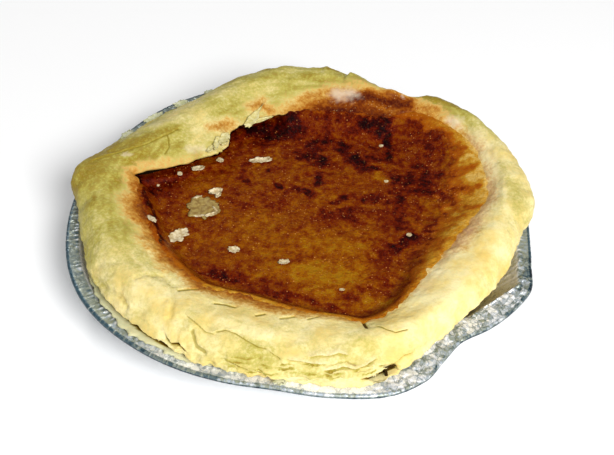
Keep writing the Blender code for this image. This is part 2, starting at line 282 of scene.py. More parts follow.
@dataclass(frozen=True)
class ColourBand:
    """A place of another colour, used for stains, painted shade and painted highlights: a band along
    points, which fades out at its edge.
    """

    points: tuple[Point, ...]
    width: float
    level: float
    edge: float = 1.5   # how soft the edge is, as a share of half the width

    def cover(self, places: np.ndarray) -> np.ndarray:
        """How much of each place the band covers, from 0 to 1."""
        away = lie(self.points, places)[0] / (self.width / 2.0)
        return 1.0 - smooth((away - 1.0) / self.edge + 0.5)


@dataclass(frozen=True)
class Crack:
    """A line in the pastry where its surface is creased, or one layer stands over the next, with painted
    shade in it and painted highlight on a ledge's edge.
    """

    points: tuple[Point, ...]
    width: float
    depth: float
    cut: Cut = Cut.GROOVE
    laid: Laid = Laid.TOP
    # how much painted shade the crack gets
    darkness: float = 1.0
    edge: float = 0.0   # how much painted highlight lightens the edge over a ledge

    RISE = 0.35   # how far a ledge's left side rises, as a share of its depth

    def lie(self, places: np.ndarray) -> tuple[np.ndarray, np.ndarray]:
        """Finds how places on the pastry lie beside the crack.

        Args:
            places: rows of x, y and z.

        Returns:
            The distance of each place from the crack, and +1 on its left side or -1 on its right.
        """
        height, (angles, radius) = places[:, 2], round_of(places)
        if self.laid is Laid.TOP:
            distance, hand = lie(self.points, places[:, :2])
            return np.where(height > PastryCase.OPEN_TOP, distance, np.inf), hand
        arc = math.radians(1.0) * PastryCase.WALL_RADIUS
        distance, hand = lie([(a * arc, h) for a, h in self.points], np.stack((angles * arc, height), 1))
        return np.where(radius > PastryCase.WALL_INSIDE, distance, np.inf), hand

    def press(self, distance: np.ndarray, hand: np.ndarray) -> np.ndarray:
        """Works out the relief.

        Args:
            distance: of each place from the crack.
            hand: the side that it is on, +1 or -1.

        Returns:
            How far the surface moves out at each place, in millimetres.
        """
        if self.cut is Cut.GROOVE:
            return -self.depth * np.exp(-(distance / (0.5 * self.width)) ** 2)
        return self.depth * np.where(hand > 0.0, self.RISE, -1.0) * np.exp(-distance / self.width)

    def dark(self, distance: np.ndarray, hand: np.ndarray) -> np.ndarray:
        """Works out the painted shade in the crack.

        Args:
            distance: of each place from the crack.
            hand: the side that it is on, +1 or -1.

        Returns:
            How dark it is at each place, from 0 to 1.
        """
        if self.cut is Cut.GROOVE:
            return self.darkness * (1.0 - smooth(distance / (0.25 * self.width) - 1.0))
        return self.darkness * np.where(hand > 0.0, 0.0, np.exp(-(distance / (0.6 * self.width)) ** 2))

    def light(self, distance: np.ndarray, hand: np.ndarray) -> np.ndarray:
        """The painted highlight on the crack's left side at each place, from 0 to 1."""
        return self.edge * np.where(hand > 0.0, np.exp(-(distance / (0.8 * self.width)) ** 2), 0.0)


def wrapped(spokes: int, section: Callable[[float], Sequence[Any]],
            place: Callable[[float, Any], Vector]) -> bmesh.types.BMesh:
    """Wraps a section that changes with the angle round the axis, to a closed body.

    Args:
        spokes: how many steps go round.
        section: gives the rows of the section at an angle, the first and last on the axis.
        place: gives the place of a row at its angle.

    Returns:
        A closed mesh of quads, with triangles at the axis, whose faces point out.
    """
    step, half = 360.0 / spokes, spokes // 2
    sections = {spoke: section(spoke * step) for spoke in range(-half, half + 1)}
    rings = len(sections[0])
    mesh = bmesh.new()
    bmesh.ops.create_grid(mesh, x_segments=spokes, y_segments=rings - 1, size=1.0)
    for vertex in mesh.verts:
        x, y, _ = vertex.co
        spoke, ring = round(0.5 * x * spokes), round(0.5 * (y + 1.0) * (rings - 1))
        vertex.co = place(spoke * step, sections[spoke][ring])
    border = [v for v in mesh.verts if v.is_boundary]
    bmesh.ops.remove_doubles(mesh, verts=border, dist=1e-4)
    bmesh.ops.recalc_face_normals(mesh, faces=mesh.faces)
    mesh.verts.index_update()
    mesh.normal_update()
    return mesh


def places_of(mesh: bmesh.types.BMesh) -> np.ndarray:
    """The places of a mesh's vertices, as rows."""
    return np.array([tuple(v.co) for v in mesh.verts])


def push(mesh: bmesh.types.BMesh, moves: np.ndarray) -> None:
    """Moves the vertices of a mesh along their normals.

    Args:
        mesh: the mesh, which is changed.
        moves: how far each vertex moves, in millimetres.
    """
    for vertex, move in zip(mesh.verts, moves.tolist()):
        vertex.co += vertex.normal * move
    mesh.normal_update()


# ---- Finishes ----

def linear(colour: Colour) -> tuple[float, float, float, float]:
    """Turns an sRGB colour of 0 to 255 into Blender's linear one."""
    parts = [c / 255.0 for c in colour]
    return (*(c / 12.92 if c <= 0.04045 else ((c + 0.055) / 1.055) ** 2.4 for c in parts), 1.0)


class Tree:
    """The nodes of one finish, added one by one to a Principled BSDF."""

    def __init__(self, name: str) -> None:
        """Starts a material that has a Principled BSDF and the object's coordinates.

        Args:
            name: the material's name.
        """
        self.material = bpy.data.materials.new(name)
        self.material.use_nodes = True
        self.shader = self.material.node_tree.nodes["Principled BSDF"]
        self.places = self.add("ShaderNodeTexCoord", {}).outputs["Object"]

    def feed(self, socket: bpy.types.NodeSocket, value: Any) -> None:
        """Links a socket to another one, or sets its own value.

        Args:
            socket: the socket.
            value: the other socket, or the value.
        """
        if isinstance(value, bpy.types.NodeSocket):
            self.material.node_tree.links.new(value, socket)
        else:
            socket.default_value = value

    def add(self, kind: str, inputs: dict[Any, Any], **settings: Any) -> bpy.types.Node:
        """Adds a node.

        Args:
            kind: the node's type.
            inputs: what goes into its sockets, by name or index.
            settings: its own properties.

        Returns:
            The node.
        """
        node = self.material.node_tree.nodes.new(kind)
        for name, value in settings.items():
            setattr(node, name, value)
        for name, value in inputs.items():
            self.feed(node.inputs[name], value)
        return node

    def surface(self, **values: Any) -> bpy.types.Material:
        """Sets the shader's sockets.

        Args:
            values: what goes into them, by their names with _ for a space.

        Returns:
            The finished material.
        """
        for name, value in values.items():
            self.feed(self.shader.inputs[name.replace("_", " ")], value)
        return self.material

    def attribute(self, name: str) -> bpy.types.NodeSocket:
        """A number that is painted on the mesh."""
        return self.add("ShaderNodeAttribute", {}, attribute_name=name).outputs["Fac"]

    def stretched(self, x: float, y: float, z: float) -> bpy.types.NodeSocket:
        """The object's coordinates, scaled."""
        node = self.add("ShaderNodeMapping", {"Vector": self.places, "Scale": (x, y, z)})
        return node.outputs["Vector"]

    def noise(self, size: float, detail: float = 3.0, rough: float = 0.55, bend: float = 0.0,
              places: bpy.types.NodeSocket | None = None) -> bpy.types.NodeSocket:
        """Adds noise round 0.5.

        Args:
            size: of its largest features, in millimetres.
            detail: how many finer layers it has.
            rough: how strong these are.
            bend: how far it is distorted.
            places: where it is read, if not at the object's coordinates.

        Returns:
            The noise's socket.
        """
        return self.add("ShaderNodeTexNoise", {
            "Vector": places or self.places, "Scale": 1.0 / (size * MM), "Detail": detail,
            "Roughness": rough, "Distortion": bend,
        }).outputs[0]

    def cells(self, size: float, feature: str = "F1") -> bpy.types.Node:
        """Voronoi cells of a size in millimetres."""
        return self.add("ShaderNodeTexVoronoi", {"Vector": self.places, "Scale": 1.0 / (size * MM)},
                        feature=feature)

    def _reckon(self, operation: str, parts: Sequence[Any], clamp: bool) -> bpy.types.NodeSocket:
        """Goes through numbers with one operation.

        Args:
            operation: Blender's name for it.
            parts: the numbers, or the sockets that they come from.
            clamp: whether the result is kept from 0 to 1.

        Returns:
            The result's socket.
        """
        result = parts[0]
        for part in parts[1:]:
            node = self.add("ShaderNodeMath", {0: result, 1: part}, operation=operation)
            result = node.outputs[0]
        node.use_clamp = clamp
        return result

    def plus(self, *parts: Any, clamp: bool = False) -> bpy.types.NodeSocket:
        """The sum of numbers."""
        return self._reckon("ADD", parts, clamp)

    def minus(self, *parts: Any, clamp: bool = False) -> bpy.types.NodeSocket:
        """The first number less the others."""
        return self._reckon("SUBTRACT", parts, clamp)

    def times(self, *parts: Any) -> bpy.types.NodeSocket:
        """The product of numbers."""
        return self._reckon("MULTIPLY", parts, False)

    def spread(self, value: Any, low: float, high: float, to_low: float = 0.0,
               to_high: float = 1.0) -> bpy.types.NodeSocket:
        """Maps one range to another, with eased ends.

        Args:
            value: the number.
            low: where the range starts.
            high: where it ends.
            to_low: what its start becomes.
            to_high: what its end becomes.

        Returns:
            The result's socket.
        """
        return self.add("ShaderNodeMapRange", {
            "Value": value, "From Min": low, "From Max": high, "To Min": to_low, "To Max": to_high,
        }, interpolation_type="SMOOTHSTEP").outputs["Result"]

    def sway(self, size: float, detail: float, rough: float, reach: float,
             tail: float = 0.3) -> bpy.types.NodeSocket:
        """Noise from -reach to reach, without its tails."""
        return self.spread(self.noise(size, detail, rough), tail, 1.0 - tail, -reach, reach)

    def dots(self, size: float, low: float, high: float) -> bpy.types.NodeSocket:
        """Adds round dots.

        Args:
            size: how far apart they are, in millimetres.
            low: the share of the cells that have none.
            high: the share from which they are whole.

        Returns:
            The socket of their strength.
        """
        cells = self.cells(size)
        return self.times(self.spread(cells.outputs["Distance"], 0.1, 0.3, 1.0, 0.0),
                          self.spread(cells.outputs["Color"], low, high))

    def blend(self, share: Any, low: Any, high: Any) -> bpy.types.NodeSocket:
        """Goes from one colour to another by a share."""
        low, high = (linear(c) if isinstance(c, tuple) else c for c in (low, high))
        return self.add("ShaderNodeMix", {0: share, 6: low, 7: high}, data_type="RGBA").outputs[2]

    def ramp(self, value: Any, stops: Iterable[Stop]) -> bpy.types.NodeSocket:
        """Picks a colour by a number.

        Args:
            value: the number.
            stops: the ramp's places and their colours.

        Returns:
            The colour's socket.
        """
        node = self.add("ShaderNodeValToRGB", {"Fac": value})
        elements = node.color_ramp.elements
        for i, (place, colour) in enumerate(stops):
            element = elements[i] if i < 2 else elements.new(place)
            element.position, element.color = place, linear(colour)
        return node.outputs["Color"]

    def bump(self, height: Any, depth: float, under: Any = None) -> bpy.types.NodeSocket:
        """Roughens the surface.

        Args:
            height: from 0 to 1.
            depth: how many millimetres a height of 1 stands for.
            under: the normal of a coarser roughness, if there is one.

        Returns:
            The normal's socket.
        """
        inputs = {"Height": height, "Distance": depth * MM}
        if under:
            inputs["Normal"] = under
        return self.add("ShaderNodeBump", inputs).outputs["Normal"]


@dataclass(frozen=True)
class FillingFinish:
    """The baked skin of the egg and almond filling, from olive amber to nearly black."""

    stops: tuple[Stop, ...] = (
        (0.0, (150, 102, 8)), (0.2, (140, 78, 1)), (0.4, (120, 54, 0)), (0.6, (98, 24, 0)),
        (0.8, (64, 5, 0)), (1.0, (22, 1, 1)),
    )
    rim: tuple[Stop, ...] = (
        (0.0, (134, 56, 2)), (0.3, (146, 70, 3)), (0.58, (160, 90, 8)), (0.8, (184, 132, 34)),
        (1.0, (212, 176, 96)),
    )
    # the colour of the painted glints
    painted_glint: Colour = (232, 160, 84)

    def material(self) -> bpy.types.Material:
        """Builds the material from how baked and how near the rim each place is, with the painted shadow
        under the lip that the bake carries, and painted glints.

        Returns:
            The material.
        """
        tree = Tree("baked filling")
        edge = tree.attribute("rim")
        # the bake attribute carries the painted shadow under the lip as well as the browning
        baked = tree.plus(tree.attribute("bake"), tree.sway(3.0, 5.0, 0.62, 0.16),
                          tree.sway(1.2, 4.0, 0.7, 0.11, 0.28), tree.sway(0.45, 2.0, 0.6, 0.07))
        darker = tree.times(tree.minus(baked, 0.45), 0.45)
        rim = tree.times(tree.minus(edge, darker, clamp=True), tree.spread(edge, 0.0, 0.12))
        colour = tree.blend(tree.spread(rim, 0.02, 0.3), tree.ramp(baked, self.stops),
                            tree.ramp(rim, self.rim))
        # painted glints: small pale orange dots, fewer where it is darkest
        painted_glints = tree.times(tree.dots(0.95, 0.5, 0.8),
                            tree.spread(tree.noise(12.0, 2.0), 0.42, 0.6, 0.2, 0.75),
                            tree.spread(baked, 0.7, 1.0, 1.0, 0.4))
        pits = tree.bump(tree.noise(0.8, 3.0, 0.7), 0.35)
        return tree.surface(Base_Color=tree.blend(painted_glints, colour, self.painted_glint),
                            Normal=tree.bump(tree.noise(3.2, 3.0, 0.6), 0.5, pits),
                            Roughness=tree.spread(tree.noise(2.0), 0.3, 0.7, 0.22, 0.45),
                            Specular_IOR_Level=0.04)


@dataclass(frozen=True)
class PastryFinish:
    """Baked puff pastry: pale yellow, tan to brown within, and olive, which is partly its own tint and
    partly painted shade where it turns from the light.
    """

    cream: tuple[Stop, ...] = (
        (0.0, (236, 222, 164)), (0.5, (231, 211, 142)), (1.0, (222, 193, 110)),
    )
    # olive tints, both the pastry's own and painted shade
    olive: tuple[Stop, ...] = (
        (0.35, (196, 184, 112)), (0.7, (178, 167, 80)), (1.0, (144, 120, 28)),
    )
    toast: tuple[Stop, ...] = (
        (0.0, (228, 208, 142)), (0.2, (218, 182, 108)), (0.4, (190, 140, 60)),
        (0.6, (158, 92, 18)), (0.8, (116, 50, 0)), (1.0, (74, 16, 0)),
    )
    # painted shade in cracks, in gaps and under the lip, from olive to nearly black
    crevice: tuple[Stop, ...] = (
        (0.3, (150, 134, 40)), (0.65, (104, 74, 20)), (0.95, (22, 10, 2)),
    )
    sparkle: Colour = (236, 200, 140)
    # the colour of the painted highlights on the top of the rim and on the edges of ledges
    pale: Colour = (232, 214, 186)
    grey: Colour = (194, 198, 166)
    roughness: tuple[float, float] = (0.5, 0.4)   # pale and toasted

    def material(self) -> bpy.types.Material:
        """Builds the material from how toasted and grey each place is, its olive tint and painted shade,
        its painted highlights, and the painted shade in cracks, gaps and under the lip.

        Returns:
            The material.
        """
        tree = Tree("baked pastry")
        colour = tree.ramp(tree.spread(tree.noise(9.0, 4.0, 0.6), 0.3, 0.7), self.cream)
        fleck = tree.sway(1.1, 4.0, 0.65, 0.1)
        olive = tree.plus(tree.attribute("olive"), tree.times(fleck, 1.6), clamp=True)
        colour = tree.blend(tree.spread(olive, 0.0, 0.75), colour, tree.ramp(olive, self.olive))
        toast = tree.plus(tree.attribute("toast"), fleck, clamp=True)
        colour = tree.blend(tree.spread(toast, 0.0, 0.36), colour, tree.ramp(toast, self.toast))
        sparkle = tree.times(tree.dots(1.0, 0.5, 0.75), tree.spread(toast, 0.1, 0.35, 0.0, 0.35))
        # sparkle dots, the grey of the lower sheet, and the painted highlights in the pale attribute
        for share, tint in ((sparkle, self.sparkle), (tree.attribute("grey"), self.grey),
                            (tree.attribute("pale"), self.pale)):
            colour = tree.blend(share, colour, tint)
        # the crevice attribute is painted shade
        crevice = tree.attribute("crevice")
        colour = tree.blend(tree.spread(crevice, 0.0, 0.55), colour, tree.ramp(crevice, self.crevice))
        layers = tree.noise(2.4, 4.0, 0.65, 0.4, tree.stretched(0.55, 0.55, 2.4))
        return tree.surface(Base_Color=colour, Roughness=tree.spread(toast, 0.3, 0.8, *self.roughness),
                            Normal=tree.bump(tree.noise(0.9, 3.0, 0.6), 0.16, tree.bump(layers, 0.2)),
                            Specular_IOR_Level=0.1, Subsurface_Weight=0.08,
                            Subsurface_Radius=(1.0, 0.6, 0.3), Subsurface_Scale=0.002)


@dataclass(frozen=True)
class FoilFinish:
    """Bright crumpled foil, whose painted reflections and shade go from white over olive grey to steel
    blue where it turns away.
    """

    # the colours of the painted reflections and shade, from white to dark steel blue
    stops: tuple[Stop, ...] = (
        (0.0, (252, 252, 252)), (0.2, (206, 208, 208)), (0.33, (162, 174, 186)),
        (0.5, (146, 151, 132)), (0.65, (104, 116, 116)), (0.85, (50, 80, 92)), (1.0, (20, 34, 42)),
    )
    roughness: tuple[float, float] = (0.24, 0.42)

    def material(self) -> bpy.types.Material:
        """Builds the material from its painted reflections and shade, and from the painted reflections and
        shade of its crumpled facets.

        Returns:
            The material.
        """
        tree = Tree("crimped foil")
        # painted reflections that differ from facet to facet, and painted shade along the folds between
        # them
        facets = tree.spread(tree.cells(3.4).outputs["Color"], 0.15, 0.85, -0.12, 0.2)
        small = tree.spread(tree.cells(1.2).outputs["Color"], 0.15, 0.85, -0.14, 0.18)
        folds = tree.spread(tree.cells(2.1, "DISTANCE_TO_EDGE").outputs["Distance"],
                            0.0, 0.08, 0.24, 0.0)
        crumple = tree.times(tree.plus(facets, small, folds), tree.attribute("crumple"))
        # the painted reflection and shade read from the mesh, with the facets' painted reflections added
        tone = tree.plus(tree.attribute("tone"), tree.sway(1.2, 3.0, 0.6, 0.06), crumple, clamp=True)
        return tree.surface(Base_Color=tree.ramp(tone, self.stops), Metallic=0.3,
                            Normal=tree.bump(tree.noise(2.6, 2.0, 0.5, 0.8), 0.3),
                            Roughness=tree.spread(tree.noise(3.0), 0.3, 0.7, *self.roughness))


@dataclass(frozen=True)
class LeafFinish:
    """A loose flake of pastry, mottled between a lighter and a darker colour."""

    name: str
    light: Colour
    dark: Colour

    def material(self) -> bpy.types.Material:
        """Builds the material.

        Returns:
            The material.
        """
        tree = Tree(self.name)
        colour = tree.blend(tree.spread(tree.noise(1.4, 3.0), 0.35, 0.65), self.light, self.dark)
        return tree.surface(Base_Color=colour, Roughness=0.5, Normal=tree.bump(tree.noise(0.8), 0.2))


@dataclass(frozen=True)
class FloorFinish:
    """The plain pale floor."""

    colour: Colour = (250, 250, 250)

    def material(self) -> bpy.types.Material:
        """Builds the material."""
        return Tree("pale floor").surface(Base_Color=linear(self.colour), Roughness=0.9)


# ---- Pieces ----

def new_piece(name: str, mesh: bmesh.types.BMesh, finish: bpy.types.Material, slot: Slot,
              stands_for: str | None = None) -> bpy.types.Object:
    """Makes an object of a mesh and tells the frame about it.

    Args:
        name: the piece's name.
        mesh: its mesh in millimetres, which is freed.
        finish: its material.
        slot: the record's slot that it takes its finish from; not used.
        stands_for: the solid that it replaces, if any.

    Returns:
        The object, whose mesh is in metres.
    """
    bmesh.ops.scale(mesh, vec=(MM, MM, MM), verts=mesh.verts)
    data = bpy.data.meshes.new(name)
    mesh.to_mesh(data)
    mesh.free()
    data.materials.append(finish)
    data.shade_smooth()
    piece = bpy.data.objects.new(name, data)
    bpy.context.scene.collection.objects.link(piece)
    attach(piece, "root")
    if stands_for:
        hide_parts(stands_for)
    triangles = sum(len(p.vertices) - 2 for p in data.polygons)
    LOG.info("%s: %d triangles", name, triangles)
    return piece


def paint(piece: bpy.types.Object, **layers: np.ndarray) -> None:
    """Paints numbers on the vertices of a piece.

    Args:
        piece: the piece.
        layers: the numbers from 0 to 1, by the name of their attribute.
    """
    for name, values in layers.items():
        layer = piece.data.attributes.new(name, "FLOAT", "POINT")
        layer.data.foreach_set("value", np.clip(values, 0.0, 1.0).astype(np.float32))


# the edge of the pastry where it lies on the dish
FOOT = Outline({
    -172: 75.8, -160: 76.4, -151: 79.4, -140: 81.2, -132: 81.2, -125: 80.0, -116: 79.6, -107: 77.2,
    -100: 77.2, -90: 78.2, -84: 79.2, -77: 81.2, -71: 80.8, -66: 78.6, -60: 74.5, -50: 70.8,
    -35: 70.8, -20: 71.2, -5: 73.5, 10: 76.5, 60: 75.0, 90: 77.0, 118: 78.2, 150: 78.2, 172: 78.0,
})


@dataclass
class FoilDish:
    """The foil dish: its wall with fine pleats, its flange, and the rolled edge."""

    radius: float = 82.5
    height: float = 22.0
    base_radius: float = 63.0
    foil: float = 0.5
    flange_width: Outline = Outline({
        -176: 5.0, -78: 5.0, -68: 7.6, -60: 9.3, -48: 8.0, -34: 8.2, -27: 7.2, -21: 5.3, 10: 5.0,
    })
    flange_bend: float = 0.6
    bead_radius: float = 0.9
    bead_turn: float = 210.0
    foot_bend: float = 3.0
    foot_rise: float = 1.6
    dents: Outline = Outline({
        -176: -0.2, -147: 2.1, -125: 0.4, -106: -1.6, -96: -2.5, -82: 0.0, -69: 2.6, -61: 1.2,
        -54: -2.8, -47: -5.3, -38: -2.6, -28: 0.1, -22: 1.2, -14: -1.2, -4: -2.4, 25: -1.0,
        70: -0.4, 110: 0.0, 131: -0.1, 150: -1.3,
    })
    pleats: int = 230
    pleat_depth: float = 0.25   # in and out, on the wall
    crimp_depth: float = 0.22   # up and down, on the flange
    bead_pinch: float = 0.14
    facet_size: float = 2.6
    facet_tilt: float = 0.16
    # where the foil is crumpled and shows painted reflections of its facets
    crumple: Sector = Sector(-66.0, -18.0, 12.0)
    dented: Sector = Sector(-128.0, -60.0, 10.0)   # where only painted reflections of crumpled facets show
    crumple_facets: float = 3.4   # how much deeper the facets are there
    covered: Outline = FOOT
    # painted reflection on the rolled edge: dark steel blue at the sides and back, light grey at the front
    bead_tone: Outline = Outline({
        -176: 0.9, -135: 0.84, -115: 0.6, -90: 0.34, -60: 0.33, -35: 0.42, -15: 0.8, 30: 0.85,
        150: 0.96,
    })
    # painted reflection on the flange: olive grey at the sides and back, white at the front
    flange_tone: Outline = Outline({
        -176: 0.6, -150: 0.58, -134: 0.42, -118: 0.08, -75: 0.0, -62: 0.14, -30: 0.16, -14: 0.4,
        30: 0.5, 150: 0.6,
    })
    wall_tone: float = 0.05
    under_tone: float = 0.26   # painted shade outside, below the flange, where faces turn down
    underside_shade_waves: float = 0.14   # how much the pleats show in that painted shade
    crimp_tone: float = 0.95   # how much painted glints and shade on the crimps lighten and darken it
    glint: float = 1.5         # how much painted glints make the pinches of the rolled edge shine
    bead_shade: float = 0.5    # how much painted shade darkens its lower side
    dented_glint: float = 0.6   # how strongly painted reflections of crumpled facets show where it is only dented
    turn_down: float = 2.5     # how fast painted shade darkens a face that turns down
    rim_margin: float = 0.06   # how far the fine form stays inside the solid's edge
    stand: float = 1.3         # and the most that it stands over the flange
    spokes: int = 1380
    bead_steps: int = 10

    def rim_radius(self, angle: Any) -> Any:
        """The outside of the rolled edge."""
        return self.radius + self.dents.at(angle)

    def wall_radius(self, angle: Any) -> Any:
        """The inside of the wall at its top."""
        return self.rim_radius(angle) - self.flange_width.at(angle)

    def section(self, angle: float) -> list[tuple[float, float, float, float]]:
        """The foil's section at an angle.

        Args:
            angle: where it is cut.

        Returns:
            Rows of radius, height, share of the wall's pleats and share of the flange's crimps,
            from the middle of the inside over the rolled edge to the middle of the underside.
        """
        top, foil = self.height, self.foil
        wall, edge = self.wall_radius(angle), self.rim_radius(angle)
        foot, flat = self.base_radius, self.base_radius - self.foot_bend
        bend, bead = self.flange_bend, self.bead_radius
        axis = (edge - bead, top - bead)
        inside = straight_through([
            (0.0, foil, 0, 0), (flat, foil, 0, 0), (foot, self.foot_rise + foil, 0.5, 0),
            (wall - 2.0 * foil, top - 2.0, 1, 0), (wall, top - foil, 0.6, 0.7),
            (wall + bend, top, 0.2, 1.3), (wall + 1.6, top, 0, 1.0), (axis[0] - 0.4, top, 0, 0.4),
            (axis[0], top, 0, 0.3),
        ], (2, 2, 8, 2, 2, 3, 12, 1))
        turns = [math.radians(90.0 - self.bead_turn * k / self.bead_steps)
                 for k in range(self.bead_steps + 1)]
        roll = [(axis[0] + bead * math.cos(t), axis[1] + bead * math.sin(t), 0, 0.3) for t in turns]
        under = [(axis[0] - bead, top - foil, 0, 0.4), (wall + 2.0 * bend, top - foil, 0.2, 1),
                 (wall + foil, top - 3.0 * foil, 0.6, 0.4)]
        outside = straight_through([
            (wall - foil + bend, top - 2.0 - foil, 1, 0), (foot + bend, self.foot_rise, 0.5, 0),
            (flat + foil, 0.0, 0, 0), (0.0, 0.0, 0, 0),
        ], (6, 1, 1))
        return inside + roll + under + outside + [(0.0, 0.0, 0, 0)]

    def pleat(self, angle: float) -> float:
        """Works out the pleats' wave: sharp folds of uneven width and depth.

        Args:
            angle: where it is read.

        Returns:
            The wave, from -1 to 1.
        """
        drift = 0.6 * noise.noise(polar(angle, 9.0, 0.0)) + 0.25 * noise.noise(polar(angle, 40.0, 3.0))
        wave = abs((angle / 360.0 * self.pleats + 2.0 * drift) % 1.0 - 0.5) * 4.0 - 1.0
        return wave * (0.6 + 0.5 * noise.noise(polar(angle, 22.0, 9.0)))

    def facet(self, point: Vector) -> float:
        """Finds the flat facet that a place on the crumpled foil lies on.

        Args:
            point: the place.

        Returns:
            The height of the facet there.
        """
        _, centres = noise.voronoi(point / self.facet_size)
        centre = centres[0]
        lean = noise.cell_vector(centre * 7.3) - Vector((0.5, 0.5, 0.5))
        return self.facet_size * (point / self.facet_size - centre).dot(lean) + 0.6 * lean.z

    def place(self, angle: float, spot: tuple[float, float, float, float]) -> Vector:
        """Lays a point of the section, with its pleats, crimps and facets.

        Args:
            angle: where the section is cut.
            spot: its row of the section.

        Returns:
            Where it lies.
        """
        radius, height, wall, flange = spot
        wave, point = self.pleat(angle), polar(angle, radius, height)
        sway = 0.35 * noise.noise(point / 17.0) + 0.15 * noise.noise(point / 6.0)
        tilt = self.facet_tilt * (1.0 + self.crumple_facets * self.crumple.at(angle))
        free = float(smooth((radius - self.covered.at(angle)) / 1.5))
        facet = self.facet(point) * tilt * max(flange, 0.5 * wall)
        facet = mix(min(facet, 0.0), facet, free)
        out = wave * (wall * self.pleat_depth + flange * self.bead_pinch) + 0.4 * facet
        up = flange * (self.crimp_depth * wave + 0.5 * sway) + facet
        outside = self.rim_radius(angle) - self.rim_margin
        return polar(angle, min(radius + out, outside), min(height + up, self.height + self.stand))

    def build(self) -> list[bpy.types.Object]:
        """Makes the dish, which stands for its solid.

        Returns:
            The dish alone.
        """
        mesh = wrapped(self.spokes, self.section, self.place)
        places = places_of(mesh)
        angles, radius = round_of(places)
        piece = new_piece("crimped_dish", mesh, FoilFinish().material(), Slot.FOIL, "foil_dish")
        # painted shade on faces that turn down
        under = smooth(-self.turn_down * np.array([v.normal.z for v in piece.data.vertices]))
        # where the painted reflections of crumpled facets show, outside the wall
        crumple = np.maximum(self.crumple.at(angles), self.dented_glint * self.dented.at(angles))
        paint(piece, tone=self.tone(places, under), crumple=crumple * (radius > self.wall_radius(angles)))
        return [piece]

    def tone(self, places: np.ndarray, under: np.ndarray) -> np.ndarray:
        """How dark the painted reflections and shade make the foil at each place, from 0 to 1.

        Args:
            places: the places.
            under: how far each of them faces down, from 0 to 1.

        Returns:
            The painted reflection and shade at each place.
        """
        angles, radius = round_of(places)
        waves = np.array([self.pleat(a) for a in angles.tolist()])
        rim, inside = self.rim_radius(angles), self.wall_radius(angles)
        flange = smooth((radius - inside) / 0.8)
        bead = smooth((radius - rim + 1.3) / 0.4)
        # painted reflections: near white on the wall, olive grey on the flange in places, steel blue on
        # the rolled edge
        level = mix(mix(self.wall_tone, self.flange_tone.at(angles), flange),
                    self.bead_tone.at(angles), bead)
        # painted glints and shade on the crimps round the flange's inner bend
        ring = np.exp(-((radius - inside - 1.0) / 1.2) ** 2) * (1.0 - self.crumple.at(angles))
        some = smooth(0.6 + 2.0 * Grain(4.0, 2, (1.0, 1.0, 8.0), 13.0).over(places))
        level -= self.crimp_tone * ring * some * np.maximum(waves + 0.1, -0.2) * smooth(4.0 * level)
        # painted glints on the pinches of the rolled edge
        level *= 1.0 - self.glint * bead * np.maximum(waves - 0.4, 0.0)
        # painted shade on the lower side of the rolled edge
        level += self.bead_shade * bead * smooth((self.height - 0.6 - places[:, 2]) / 0.3)
        # painted shade where faces turn down, with the pleats showing in it
        return np.maximum(level, under * (self.under_tone - self.underside_shade_waves * waves))


